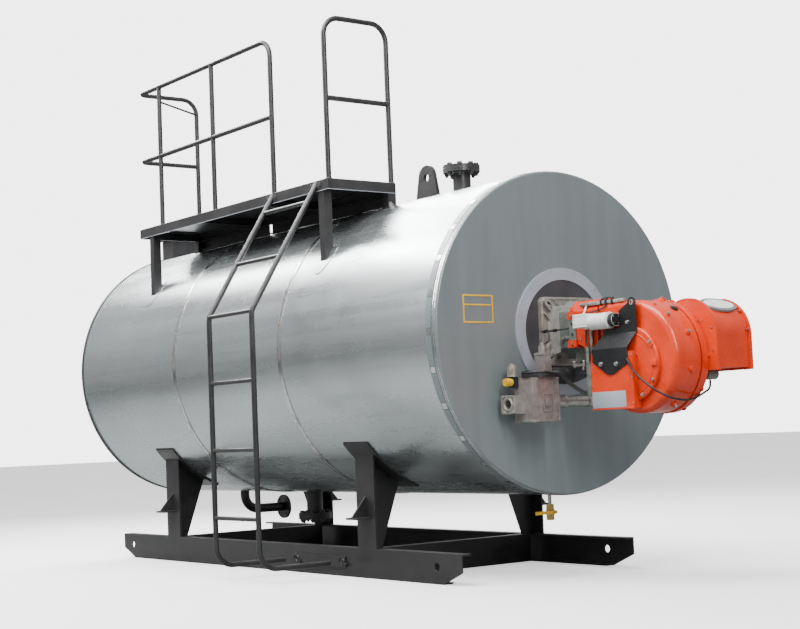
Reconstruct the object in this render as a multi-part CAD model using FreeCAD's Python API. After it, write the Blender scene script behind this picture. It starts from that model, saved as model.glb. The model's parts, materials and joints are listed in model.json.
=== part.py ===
"""Horizontal fire-tube boiler: vessel, gas burner, base frame, service platform and ladder.

Units are millimetres. X runs along the boiler's axis and grows towards the burner, Y grows away
from the ladder, and Z is up. The origin is on the floor, at the middle of the underside of the
front cross-beam, midway between the two front legs.
"""
import FreeCAD, Part
import math
import os

Vector = FreeCAD.Vector

# ---- vessel -------------------------------------------------------------------------------
shell_radius = 950.0            # over the cladding
shell_wall = 100.0              # pressure shell, insulation and cladding together
shell_length = 4530.0           # over both end covers
axis_height = 1430.0            # boiler axis above the floor
front_overhang = 1121.0         # front face ahead of the front legs
front_cover_depth = 100.0
rear_cover_depth = 60.0
cover_edge_round = 12.0
burner_opening_radius = 160.0   # hole through the front cover for the burner's head
seam_band_width = 40.0
seam_band_thick = 3.0
seam_band_setbacks = (1625.0, 3020.0)   # behind the front face
rear_trim_width = 28.0
rear_trim_thick = 6.0

# ---- base frame ---------------------------------------------------------------------------
rail_half_spread = 681.0        # boiler centre line to a rail's outer face
rail_height = 180.0
rail_flange_width = 70.0
rail_web = 9.0
rail_flange_thick = 11.0
rail_front_overhang = 921.0     # rail ahead of the front legs
rail_rear_overhang = 814.0      # rail behind the rear legs
rail_nose_rise = 75.0
rail_nose_length = 180.0
rail_hole_radius = 24.0
rail_hole_height = 100.0
rail_hole_front_inset = 230.0
rail_hole_rear_inset = 150.0
leg_spacing = 2480.0
leg_flange_width = 190.0
leg_thick = 12.0
leg_web_foot = 100.0            # depth of the web plate at its foot
leg_web_lean = 145.0            # how far the web plate's inner edge leans in at the shell
leg_pad_thick = 10.0
leg_pad_width = 260.0
leg_pad_margin = 60.0
lug_height = 361.0
lug_reach = 110.0
lug_width = 120.0
lug_thick = 12.0
lug_gusset_height = 125.0

# ---- service platform and railings --------------------------------------------------------
platform_setback = 1235.0       # platform's front edge behind the front face
platform_length = 2556.0
platform_outer_y = -790.0
platform_inner_y = -266.0
platform_rise = 105.0           # deck above the shell's crest
deck_thick = 5.0
edge_depth = 65.0
edge_thick = 6.0
edge_flange = 50.0
stiffener_depth = 50.0
post_size = 60.0
post_insets = (95.0, 170.0)     # front and rear outer posts, from the platform's ends
collar_radius = 80.0
collar_thick = 4.0
bearer_flange = 40.0
bearer_thick = 6.0
bearer_gap = 40.0
bearer_split = 0.6              # share of the bearer's length that lies ahead of its gap
rail_tube_radius = 17.0
rail_inset = 20.0               # tube centres inside the platform's edges
handrail_height = 1035.0
knee_rail_height = 515.0
handrail_bend = 115.0
corner_bend = 55.0
front_railing_setback = 1255.0
rear_railing_front_setback = 1900.0
post_pitch = 782.0
thin_bar_radius = 8.5
thin_bar_height = 925.0

# ---- ladder -------------------------------------------------------------------------------
ladder_front_setback = 1378.0   # front stile behind the front face
ladder_width = 522.0
ladder_stand_off = 502.0        # upright part outside the platform's edge
ladder_bend_drop = 828.0        # where the stiles turn in towards the platform, below its deck
ladder_bend = 90.0
ladder_foot_bend = 120.0
ladder_foot_height = 90.0
ladder_head_drop = 32.0
ladder_head_lap = 30.0          # stile run past its head before it is cut flush
ladder_bar_height = 66.0
ladder_bar_thick = 10.0
ladder_bar_margin = 25.0
rung_radius = 13.0
rung_pitch = 422.0
rung_slant_pitch = 408.0

# ---- nozzles and pipes --------------------------------------------------------------------
pipe_embed = 4.0                # how far a pipe runs on past the shell's inner face
steam_setback = 884.0
steam_pipe_radius = 57.0
steam_pipe_wall = 8.0
steam_rise = 176.0              # top of the blind flange above the shell's crest
steam_flange_radius = 118.0
steam_flange_thick = 24.0
blind_thick = 20.0
steam_bolt_circle = 95.0
steam_bolt_count = 8
steam_bolt_hole = 11.0
blowdown_setback = 2727.0
blowdown_drop = 150.0           # top of its flange below the shell's belly
blowdown_flange_radius = 118.0
drain_setback = 3705.0
drain_pipe_radius = 34.0
drain_pipe_wall = 6.0
drain_drop = 143.0              # pipe's level run below the shell's belly
drain_bend = 110.0
drain_reach = 361.0
drain_flange_radius = 92.0
drain_flange_thick = 20.0
drain_bolt_circle = 72.5
drain_bolt_count = 4
drain_bolt_hole = 9.0
valve_setback = 195.0
valve_pipe_radius = 11.0
valve_drop = 58.0               # top of the valve below the shell's belly
valve_length = 92.0
valve_body_radius = 24.0
valve_nut_radius = 20.0
valve_nut_length = 20.0
valve_bore = 8.0
valve_stem_radius = 7.0
valve_stem_reach = 44.0
lever_length = 150.0
lever_width = 20.0
lever_thick = 4.0
lever_clearance = 6.0
stem_clearance = 0.05
lift_lug_setback = 1239.0
lift_lug_base = 238.0
lift_lug_thick = 25.0
lift_lug_rise = 237.0
lift_lug_head = 82.0
lift_lug_hole = 27.5
flue_setback = 4325.0
flue_length = 175.0
flue_width = 456.0
flue_rise = 140.0
flue_wall = 12.0
flue_flange = 30.0
flue_flange_thick = 14.0

# ---- burner: positions are ahead of the front face and above the boiler's axis ------------
ring_outer_radius = 375.0
ring_inner_radius = 305.0
ring_thick = 10.0
plate_thick = 6.0
head_radius = 150.0
head_length = 190.0
mount_size = 400.0
mount_thick = 24.0
mount_corner = 35.0
mount_slot_offset = 152.0
mount_slot_length = 44.0
mount_slot_width = 15.0
hub_base = 300.0
hub_top = 252.0
hub_reach = 100.0
neck_reach = 205.0
neck_width = 250.0
neck_low = -165.0
neck_high = 165.0
neck_chamfer = 63.0
neck_foot_front = 390.0   # the neck's underside runs on below the body
neck_foot_low = -190.0
neck_foot_width = 210.0
body_width = 300.0
body_high = 153.0
body_low = -95.0
body_chamfer = 60.0
body_sweep_start = 275.0        # where its underside starts to curve down to the fan
body_sweep_end = 350.0
body_sweep_low = -178.0
body_lug_front = 275.0          # hinge lugs on the near side
body_lug_thick = 42.0
body_lug_gap = 119.0
body_lug_reach = 12.0
hinge_back = 212.0
hinge_front = 266.0
hinge_reach = 7.0
fan_reach = 700.0               # fan axis
fan_drop = 230.0                # fan axis below the boiler's axis
fan_near_y = -150.0
fan_split_y = 32.0
fan_groove = 10.0
fan_groove_depth = 8.0
fan_far_y = 92.0
fan_far_lip = 4.0
fan_radius_bottom = 268.0
fan_radius_front = 324.0
fan_radius_top = 350.0
fan_throat = 260.0
fan_shoulder = 34.0
cover_radius = 205.0
cover_thick = 22.0
intake_reach = 880.0
intake_drop = 95.0
intake_radius = 199.0
intake_foot = 177.0             # flat foot below the arch's centre
intake_far_y = 350.0
intake_flange = 12.0
intake_flange_thick = 22.0
damper_reach = 970.0
damper_y = 118.0
damper_radius = 30.0
damper_length = 76.0
gas_box_back = 427.0
gas_box_front = 750.0
gas_box_near_y = -205.0
gas_box_low = -468.0
gas_box_high = -160.0
gas_box_root_y = 150.0
gas_box_root_lap = 40.0         # its root runs on under the fan casing
gas_adapter_thick = 35.0
gas_adapter_low = -398.0
gas_adapter_high = -117.0
gas_adapter_depth = 60.0
bracket_thick = 5.0
bracket_back = 447.0   # lower plate, on the gas box
bracket_front = 717.0
bracket_fold = -138.0
bracket_tip_reach = 583.0
bracket_tip = -283.0
bracket_tip_radius = 68.0
bracket_back_lean = 33.0        # degrees, the lower plate's edges down to its tip
bracket_front_lean = 26.0
bracket_notch_gap = 3.0         # round the servo motor's end
bracket_upper_y = -173.0        # upper plate, set back behind the servo motor
bracket_upper_back = 510.0
bracket_upper_front = 766.0
bracket_upper_fold = -56.0
bracket_ear_reach = 737.0
bracket_ear_height = 103.0
bracket_ear_radius = 30.0
bracket_ear_hole = 8.0
servo_near_y = -242.0
servo_case_size = 77.0
servo_drum_radius = 45.0
servo_cap_radius = 36.0
servo_back = 337.0
servo_split = 445.0
servo_front = 593.0
servo_cap_front = 635.0
servo_case_height = 27.5
servo_drum_height = 18.0
servo_round = 6.0
slide_bar_radius = 11.0
slide_bar_y = -136.0
slide_bar_gap = 0.35            # above the shoulders it lies along
slide_bar_back = 300.0
slide_bar_front = 648.0
valve_block_back = 70.0
valve_block_front = 250.0
valve_block_near_y = -469.0
valve_block_far_y = -288.0
valve_block_low = -517.0
valve_block_high = -275.0
gas_pipe_radius = 32.0
gas_pipe_reach = 145.0
gas_pipe_level = -410.0
gas_pipe_turn_y = 110.0
gas_pipe_bend = 60.0
gas_stub_radius = 38.0          # cast stub on the valve's outlet
gas_stub_far_y = -160.0
gas_union_radius = 36.0
gas_union_low_y = 12.0
gas_union_high_y = 57.0
gas_inlet_size = 104.0
gas_inlet_length = 75.0
gas_inlet_bore = 26.0
gas_inlet_reach = 105.0
gas_inlet_level = -420.0
valve_disc_radius = 94.0
valve_disc_thick = 22.0
valve_disc_reach = 185.0
valve_disc_y = -383.0
actuator_reach = 182.5
actuator_y = -340.0
actuator_width = 85.0
actuator_depth = 50.0
actuator_high = -134.0
actuator_cap = 40.0
actuator_cap_radius = 23.0
plug_back = 65.0
plug_front = 113.0
plug_reach = 31.0
plug_low = -325.0
plug_high = -264.0
plug_cap_radius = 21.0
plug_cap_length = 46.0
vent_radius = 29.0
vent_reach = 82.0
vent_y = -485.0
vent_top = -201.0
switch_radius = 47.0
switch_height = -264.0
switch_length = 306.0
switch_taper = 0.4              # share of its length that narrows
cable_radius = 6.0
coil_radius = 88.0              # the loop of lead lying on the valve's disc
lead_pitch_y = 13.0             # between two leads that run side by side
lead_pitch_z = 6.0
cable_bed = 0.8                 # a lead's clearance from what it is clipped to

# ---- places worked out from the sizes above -----------------------------------------------
front_x = front_overhang
rear_x = front_x - shell_length
crest_z = axis_height + shell_radius
belly_z = axis_height - shell_radius
shell_front_x = front_x - front_cover_depth
shell_rear_x = rear_x + rear_cover_depth
rail_front_x = rail_front_overhang
rail_rear_x = -leg_spacing - rail_rear_overhang
leg_xs = (0.0, -leg_spacing)
platform_front_x = front_x - platform_setback
platform_rear_x = platform_front_x - platform_length
platform_top = crest_z + platform_rise
ladder_bend_height = platform_top - ladder_bend_drop
frame_top = platform_top - deck_thick
frame_bottom = frame_top - edge_depth
outer_tube_y = platform_outer_y + rail_inset
inner_tube_y = platform_inner_y - rail_inset
handrail_z = platform_top + handrail_height
knee_rail_z = platform_top + knee_rail_height

parts = {}


def box(low, high):
    """A block between two opposite corners."""
    return Part.makeBox(high[0] - low[0], high[1] - low[1], high[2] - low[2], Vector(*low))


def rod(radius, start, end):
    """A round bar between two points."""
    along = Vector(*end) - Vector(*start)
    return Part.makeCylinder(radius, along.Length, Vector(*start), along)


def plate(points, along):
    """A flat plate: a closed outline pushed along a vector."""
    corners = [Vector(*point) for point in points]
    return Part.Face(Part.makePolygon(corners + corners[:1])).extrude(Vector(*along))


def bent_line(points, bends):
    """Straight runs through the points, with an arc of the given radius at each inner point."""
    corners = [Vector(*point) for point in points]
    edges = []
    here = corners[0]
    for corner, after, bend in zip(corners[1:-1], corners[2:], bends):
        inward = (corner - here).normalize()
        outward = (after - corner).normalize()
        half_turn = inward.getAngle(outward) / 2
        setback = bend * math.tan(half_turn)
        arc_start = corner - inward * setback
        arc_end = corner + outward * setback
        to_centre = (outward - inward).normalize()
        arc_middle = corner + to_centre * (bend / math.cos(half_turn) - bend)
        edges.append(Part.LineSegment(here, arc_start).toShape())
        edges.append(Part.Arc(arc_start, arc_middle, arc_end).toShape())
        here = arc_end
    edges.append(Part.LineSegment(here, corners[-1]).toShape())
    return Part.Wire(edges)


def bent_tube(points, bends, radius):
    """A round bar swept along a bent line."""
    path = bent_line(points, bends)
    along = Vector(*points[1]) - Vector(*points[0])
    ring = Part.Wire(Part.makeCircle(radius, Vector(*points[0]), along))
    return path.makePipeShell([ring], True, False)


def around_axis(radius, x_low, x_high):
    """A round block on the boiler's axis."""
    return rod(radius, (x_low, 0, axis_height), (x_high, 0, axis_height))


def band(outer, inner, x_low, x_high):
    """A hoop on the boiler's axis."""
    return around_axis(outer, x_low, x_high).cut(around_axis(inner, x_low, x_high))


def shell_height(y, radius=shell_radius):
    """How far the shell's surface is above or below its axis at a distance from the middle."""
    return math.sqrt(radius * radius - y * y)


def fused(pieces):
    """Touching pieces as one solid."""
    return pieces[0].multiFuse(pieces[1:]).removeSplitter()


def apart(pieces):
    """Like pieces that don't touch, in one node."""
    return Part.makeCompound(pieces)


def bolt_holes(centre, axis, circle, count, radius, depth):
    """Round holes on a bolt circle, the first one half a step from the circle's first axis."""
    middle = Vector(*centre)
    direction = Vector(*axis)
    across = Vector(1, 0, 0)
    if abs(direction.x) > 0.5:
        across = Vector(0, 1, 0)
    up = direction.cross(across)
    holes = []
    for step in range(count):
        angle = 2 * math.pi * (step + 0.5) / count
        spot = middle + across * (circle * math.cos(angle)) + up * (circle * math.sin(angle))
        holes.append(Part.makeCylinder(radius, depth, spot - direction * (depth / 2), direction))
    return holes


# ---- vessel -------------------------------------------------------------------------------
steam_x = front_x - steam_setback
blowdown_x = front_x - blowdown_setback
drain_x = front_x - drain_setback
valve_x = front_x - valve_setback
flue_x = front_x - flue_setback - flue_length / 2
inner_radius = shell_radius - shell_wall
steam_top = crest_z + steam_rise
lift_lug_top = crest_z + lift_lug_rise
flue_top = crest_z + flue_rise
blowdown_flange_top = belly_z - blowdown_drop
drain_level = belly_z - drain_drop
valve_top = belly_z - valve_drop


def make_vessel():
    openings = [
        rod(steam_pipe_radius, (steam_x, 0, axis_height), (steam_x, 0, crest_z)),
        rod(steam_pipe_radius, (blowdown_x, 0, 0), (blowdown_x, 0, axis_height)),
        rod(drain_pipe_radius, (drain_x, 0, 0), (drain_x, 0, axis_height)),
        rod(valve_pipe_radius, (valve_x, 0, 0), (valve_x, 0, axis_height)),
    ]
    parts["boiler_shell"] = band(shell_radius, inner_radius, shell_rear_x, shell_front_x).cut(openings)

    cover = around_axis(shell_radius, shell_front_x, front_x)
    rim = [edge for edge in cover.Edges if abs(edge.CenterOfMass.x - front_x) < 1 and edge.Length > 100]
    cover = cover.makeFillet(cover_edge_round, rim)
    parts["front_cover"] = cover.cut(around_axis(burner_opening_radius, shell_front_x, front_x))
    parts["rear_cover"] = around_axis(shell_radius, rear_x, shell_rear_x)
    parts["rear_trim"] = band(shell_radius + rear_trim_thick, shell_radius, rear_x, rear_x + rear_trim_width)

    bands = []
    for setback in seam_band_setbacks:
        middle = front_x - setback
        bands.append(band(shell_radius + seam_band_thick, shell_radius,
                          middle - seam_band_width / 2, middle + seam_band_width / 2))
    parts["seam_bands"] = apart(bands)

    parts["burner_ring"] = band(ring_outer_radius, ring_inner_radius, front_x, front_x + ring_thick)
    parts["burner_plate"] = band(ring_inner_radius, head_radius, front_x, front_x + plate_thick)


# ---- base frame ---------------------------------------------------------------------------
def channel_rail(side):
    """One base rail: a channel with its web outside and its flanges turned in."""
    face = side * rail_half_spread
    tip = side * (rail_half_spread - rail_flange_width)
    inner = side * (rail_half_spread - rail_web)
    outline = [
        (0, face, 0),
        (0, tip, 0),
        (0, tip, rail_flange_thick),
        (0, inner, rail_flange_thick),
        (0, inner, rail_height - rail_flange_thick),
        (0, tip, rail_height - rail_flange_thick),
        (0, tip, rail_height),
        (0, face, rail_height),
    ]
    length = rail_front_x - rail_rear_x
    rail = plate([(rail_rear_x, y, z) for _, y, z in outline], (length, 0, 0))
    cuts = []
    depth = 2 * rail_flange_width
    for end, inward in ((rail_front_x, -1), (rail_rear_x, 1)):
        corner = [(end, 0, 0), (end + inward * rail_nose_length, 0, 0), (end, 0, rail_nose_rise)]
        shifted = [(x, face - depth / 2, z) for x, _, z in corner]
        cuts.append(plate(shifted, (0, depth, 0)))
    hole_xs = (rail_front_x - rail_hole_front_inset, rail_rear_x + rail_hole_rear_inset)
    for x in hole_xs:
        cuts.append(rod(rail_hole_radius, (x, face - depth / 2, rail_hole_height),
                        (x, face + depth / 2, rail_hole_height)))
    return rail.cut(cuts)


def cross_beam(x):
    """A channel between the rails, with its web towards the burner, seated between their flanges."""
    half = rail_half_spread - rail_flange_width
    face = x + rail_flange_width / 2
    tip = x - rail_flange_width / 2
    outline = [
        (face, 0),
        (tip, 0),
        (tip, rail_flange_thick),
        (face - rail_web, rail_flange_thick),
        (face - rail_web, rail_height - rail_flange_thick),
        (tip, rail_height - rail_flange_thick),
        (tip, rail_height),
        (face, rail_height),
    ]
    return plate([(px, -half, pz) for px, pz in outline], (0, 2 * half, 0))


def leg(x, side):
    """A welded T-shaped leg, cut to the curve of its pad on the shell."""
    face = side * rail_half_spread
    inner = side * (rail_half_spread - leg_thick)
    foot = side * (rail_half_spread - leg_thick - leg_web_foot)
    lean = side * (rail_half_spread - leg_thick - leg_web_foot - leg_web_lean)
    low_y, high_y = sorted((face, inner))
    flange = box((x - leg_flange_width / 2, low_y, rail_height),
                 (x + leg_flange_width / 2, high_y, axis_height))
    shell_foot = axis_height - shell_height(lean)
    web = plate([(x - leg_thick / 2, inner, rail_height),
                 (x - leg_thick / 2, foot, rail_height),
                 (x - leg_thick / 2, lean, shell_foot),
                 (x - leg_thick / 2, inner, axis_height)], (leg_thick, 0, 0))
    pad_face = around_axis(shell_radius + leg_pad_thick, x - leg_flange_width, x + leg_flange_width)
    trimmed = fused([flange, web]).cut(pad_face)
    return max(trimmed.Solids, key=lambda solid: solid.Volume)


def leg_pad(x, side):
    """The curved plate that spreads a leg's load on the shell."""
    hoop = band(shell_radius + leg_pad_thick, shell_radius, x - leg_pad_width / 2, x + leg_pad_width / 2)
    near = side * (rail_half_spread + leg_pad_margin)
    deep = side * (rail_half_spread - leg_thick - leg_web_foot - leg_web_lean - leg_pad_margin)
    low_y, high_y = sorted((near, deep))
    return hoop.common(box((x - leg_pad_width, low_y, 0), (x + leg_pad_width, high_y, axis_height)))


def leg_lug(x, side):
    """A jacking lug: a flat shelf on the leg's outer face, with a gusset over it."""
    face = side * rail_half_spread
    reach = side * (rail_half_spread + lug_reach)
    low_y, high_y = sorted((face, reach))
    shelf = box((x - lug_width / 2, low_y, lug_height), (x + lug_width / 2, high_y, lug_height + lug_thick))
    gusset = plate([(x - leg_thick / 2, face, lug_height + lug_thick),
                    (x - leg_thick / 2, reach, lug_height + lug_thick),
                    (x - leg_thick / 2, face, lug_height + lug_thick + lug_gusset_height)],
                   (leg_thick, 0, 0))
    return fused([shelf, gusset])


def make_base():
    pads = []
    lugs = []
    for side, side_name in ((-1, "left"), (1, "right")):
        parts["base_rail_" + side_name] = channel_rail(side)
        for x, end_name in zip(leg_xs, ("front", "rear")):
            parts["leg_" + end_name + "_" + side_name] = leg(x, side)
            pads.append(leg_pad(x, side))
            lugs.append(leg_lug(x, side))
    for x, end_name in zip(leg_xs, ("front", "rear")):
        parts["cross_beam_" + end_name] = cross_beam(x)
    parts["leg_pads"] = apart(pads)
    parts["leg_lugs"] = apart(lugs)


# ---- service platform ---------------------------------------------------------------------
def make_platform():
    deck_low = (platform_rear_x, platform_outer_y, frame_top)
    deck_high = (platform_front_x, platform_inner_y, platform_top)
    parts["platform_deck"] = box(deck_low, deck_high)

    outside = box((platform_rear_x, platform_outer_y, frame_bottom),
                  (platform_front_x, platform_inner_y, frame_top))
    inside = box((platform_rear_x + edge_thick, platform_outer_y + edge_thick, frame_bottom),
                 (platform_front_x - edge_thick, platform_inner_y - edge_thick, frame_top - edge_thick))
    middle = box((platform_rear_x + edge_flange, platform_outer_y + edge_flange, frame_top - edge_thick),
                 (platform_front_x - edge_flange, platform_inner_y - edge_flange, frame_top))
    members = [outside.cut([inside, middle])]
    for share in (1, 2):
        x = platform_front_x - platform_length * share / 3
        members.append(box((x - edge_thick / 2, platform_outer_y + edge_thick, frame_top - stiffener_depth),
                           (x + edge_thick / 2, platform_inner_y - edge_thick, frame_top)))
    parts["platform_frame"] = fused(members)

    cladding = around_axis(shell_radius, rear_x, front_x)
    skin = band(shell_radius + collar_thick, shell_radius, rear_x, front_x)
    posts = []
    collars = []
    outer_y = platform_outer_y + edge_thick
    middles = (platform_front_x - post_insets[0], platform_rear_x + post_insets[1])
    for x in middles:
        post = box((x - post_size / 2, outer_y, axis_height),
                   (x + post_size / 2, outer_y + post_size, frame_bottom))
        posts.append(post.cut(cladding))
        spot = outer_y + post_size / 2
        disc = rod(collar_radius, (x, spot, axis_height), (x, spot, frame_bottom))
        collars.append(disc.common(skin).cut(post))
    inner_y = platform_inner_y - post_size
    inner_ends = (platform_front_x - post_size / 2, platform_rear_x + post_size / 2)
    for x in inner_ends:
        post = box((x - post_size / 2, inner_y, axis_height),
                   (x + post_size / 2, platform_inner_y, frame_bottom))
        posts.append(post.cut(cladding))
    parts["platform_posts"] = apart(posts)
    parts["post_collars"] = apart(collars)

    bearer_foot = axis_height + shell_height(platform_inner_y)
    bearer_low = platform_rear_x + post_size
    bearer_high = platform_front_x - post_size
    split = bearer_high - (bearer_high - bearer_low) * bearer_split
    lengths = ((bearer_low, split - bearer_gap / 2), (split + bearer_gap / 2, bearer_high))
    bearers = []
    for x_low, x_high in lengths:
        whole = box((x_low, platform_inner_y - bearer_flange, bearer_foot),
                    (x_high, platform_inner_y, frame_bottom))
        hollow = box((x_low, platform_inner_y - bearer_flange, bearer_foot + bearer_thick),
                     (x_high, platform_inner_y - bearer_thick, frame_bottom - bearer_thick))
        bearers.append(whole.cut([hollow, parts["seam_bands"]]))
    parts["platform_bearers"] = apart(bearers)


def make_railings():
    rear_x_tube = platform_rear_x + rail_inset
    first_x = front_x - rear_railing_front_setback
    post_xs = (first_x - post_pitch, first_x - 2 * post_pitch)
    handrail = bent_tube([(first_x, outer_tube_y, platform_top),
                          (first_x, outer_tube_y, handrail_z),
                          (rear_x_tube, outer_tube_y, handrail_z),
                          (rear_x_tube, inner_tube_y, handrail_z),
                          (rear_x_tube, inner_tube_y, platform_top)],
                         [handrail_bend, corner_bend, handrail_bend], rail_tube_radius)
    knee_rail = bent_tube([(first_x, outer_tube_y, knee_rail_z),
                           (rear_x_tube, outer_tube_y, knee_rail_z),
                           (rear_x_tube, inner_tube_y, knee_rail_z)],
                          [corner_bend], rail_tube_radius)
    members = [handrail, knee_rail]
    for x in post_xs:
        members.append(rod(rail_tube_radius, (x, outer_tube_y, platform_top), (x, outer_tube_y, handrail_z)))
    thin_z = platform_top + thin_bar_height
    members.append(rod(thin_bar_radius, (post_xs[1], outer_tube_y, thin_z),
                       (rear_x_tube, inner_tube_y, thin_z)))
    parts["railing_rear"] = fused(members)

    x = front_x - front_railing_setback
    loop = bent_tube([(x, outer_tube_y, platform_top), (x, outer_tube_y, handrail_z),
                      (x, inner_tube_y, handrail_z), (x, inner_tube_y, platform_top)],
                     [handrail_bend, handrail_bend], rail_tube_radius)
    bar = rod(rail_tube_radius, (x, outer_tube_y, knee_rail_z), (x, inner_tube_y, knee_rail_z))
    parts["railing_front"] = fused([loop, bar])


def make_ladder():
    upright_y = platform_outer_y - ladder_stand_off
    head_z = platform_top - ladder_head_drop
    front_stile_x = front_x - ladder_front_setback
    stile_xs = (front_stile_x, front_stile_x - ladder_width)
    rail_face = -rail_half_spread
    bar_face = rail_face - ladder_bar_thick
    slant = Vector(0, platform_outer_y - upright_y, head_z - ladder_bend_height).normalize()
    head = (platform_outer_y + slant.y * ladder_head_lap, head_z + slant.z * ladder_head_lap)
    members = []
    for x in stile_xs:
        stile = bent_tube([(x, bar_face, ladder_foot_height),
                           (x, upright_y, ladder_foot_height),
                           (x, upright_y, ladder_bend_height),
                           (x, head[0], head[1])],
                          [ladder_foot_bend, ladder_bend], rail_tube_radius)
        past_edge = box((x - ladder_bend, platform_outer_y, 0), (x + ladder_bend, 0, 2 * axis_height))
        members.append(stile.cut(past_edge))
    spots = [(upright_y, ladder_bend_height - rung_pitch * step) for step in range(4)]
    for step in (1, 2):
        along = slant * (rung_slant_pitch * step)
        spots.append((upright_y + along.y, ladder_bend_height + along.z))
    for y, z in spots:
        members.append(rod(rung_radius, (stile_xs[1], y, z), (stile_xs[0], y, z)))
    parts["ladder"] = fused(members)

    low_z = ladder_foot_height - ladder_bar_height / 2
    parts["ladder_foot_bar"] = box((stile_xs[1] - ladder_bar_margin, bar_face, low_z),
                                   (stile_xs[0] + ladder_bar_margin, rail_face, low_z + ladder_bar_height))


# ---- nozzles and pipes --------------------------------------------------------------------
def make_nozzles():
    inside_top = axis_height + inner_radius - pipe_embed
    flange_top = steam_top - blind_thick
    neck = rod(steam_pipe_radius, (steam_x, 0, inside_top), (steam_x, 0, flange_top))
    flange = rod(steam_flange_radius, (steam_x, 0, flange_top - steam_flange_thick), (steam_x, 0, flange_top))
    bore = rod(steam_pipe_radius - steam_pipe_wall, (steam_x, 0, inside_top), (steam_x, 0, flange_top))
    holes = bolt_holes((steam_x, 0, flange_top), (0, 0, 1), steam_bolt_circle, steam_bolt_count,
                       steam_bolt_hole, 4 * steam_flange_thick)
    parts["steam_nozzle"] = fused([neck, flange]).cut([bore] + holes)

    blind = rod(steam_flange_radius, (steam_x, 0, flange_top), (steam_x, 0, steam_top))
    low_flange = blowdown_flange_top - steam_flange_thick
    foot = rod(blowdown_flange_radius, (blowdown_x, 0, low_flange - blind_thick), (blowdown_x, 0, low_flange))
    low_holes = bolt_holes((blowdown_x, 0, low_flange), (0, 0, 1), steam_bolt_circle, steam_bolt_count,
                           steam_bolt_hole, 4 * steam_flange_thick)
    parts["blind_flanges"] = apart([blind.cut(holes), foot.cut(low_holes)])

    inside_low = axis_height - inner_radius + pipe_embed
    down = rod(steam_pipe_radius, (blowdown_x, 0, low_flange), (blowdown_x, 0, inside_low))
    down_bore = rod(steam_pipe_radius - steam_pipe_wall, (blowdown_x, 0, low_flange),
                    (blowdown_x, 0, inside_low))
    down_flange = rod(blowdown_flange_radius, (blowdown_x, 0, low_flange),
                      (blowdown_x, 0, blowdown_flange_top))
    parts["blowdown_pipe"] = fused([down, down_flange]).cut([down_bore] + low_holes)

    route = [(drain_x, 0, inside_low), (drain_x, 0, drain_level), (drain_x, drain_reach, drain_level)]
    outer = bent_tube(route, [drain_bend], drain_pipe_radius)
    bore = bent_tube(route, [drain_bend], drain_pipe_radius - drain_pipe_wall)
    face_y = drain_reach - drain_flange_thick
    drain_flange = rod(drain_flange_radius, (drain_x, face_y, drain_level),
                       (drain_x, drain_reach, drain_level))
    drain_holes = bolt_holes((drain_x, drain_reach, drain_level), (0, 1, 0), drain_bolt_circle,
                             drain_bolt_count, drain_bolt_hole, 4 * drain_flange_thick)
    parts["rear_drain_pipe"] = fused([outer, drain_flange]).cut([bore] + drain_holes)


def make_drain_valve():
    low = valve_top - valve_length
    inside_low = axis_height - inner_radius + pipe_embed
    nipple = rod(valve_pipe_radius, (valve_x, 0, valve_top - valve_nut_length), (valve_x, 0, inside_low))
    nipple_bore = rod(valve_bore, (valve_x, 0, valve_top - valve_nut_length), (valve_x, 0, inside_low))
    parts["front_drain_pipe"] = nipple.cut(nipple_bore)

    middle = (low + valve_top) / 2
    body = rod(valve_body_radius, (valve_x, 0, low + valve_nut_length),
               (valve_x, 0, valve_top - valve_nut_length))
    nuts = rod(valve_nut_radius, (valve_x, 0, low), (valve_x, 0, valve_top))
    stem = rod(valve_stem_radius, (valve_x, 0, middle), (valve_x + valve_stem_reach, 0, middle))
    bonnet = rod(valve_stem_radius * 2, (valve_x, 0, middle),
                 (valve_x + valve_stem_reach - lever_clearance - lever_thick, 0, middle))
    socket = rod(valve_pipe_radius, (valve_x, 0, valve_top - valve_nut_length), (valve_x, 0, valve_top))
    outlet = rod(valve_bore, (valve_x, 0, low), (valve_x, 0, low + valve_nut_length * 1.5))
    parts["drain_valve"] = fused([body, nuts, stem, bonnet]).cut([socket, outlet])

    lever_x = valve_x + valve_stem_reach - lever_thick - lever_clearance / 2
    half = lever_width / 2
    lever = box((lever_x, -lever_length, middle - half), (lever_x + lever_thick, lever_width, middle + half))
    eye = rod(valve_stem_radius + stem_clearance, (lever_x, 0, middle), (lever_x + lever_thick, 0, middle))
    parts["valve_lever"] = lever.cut(eye)


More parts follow.
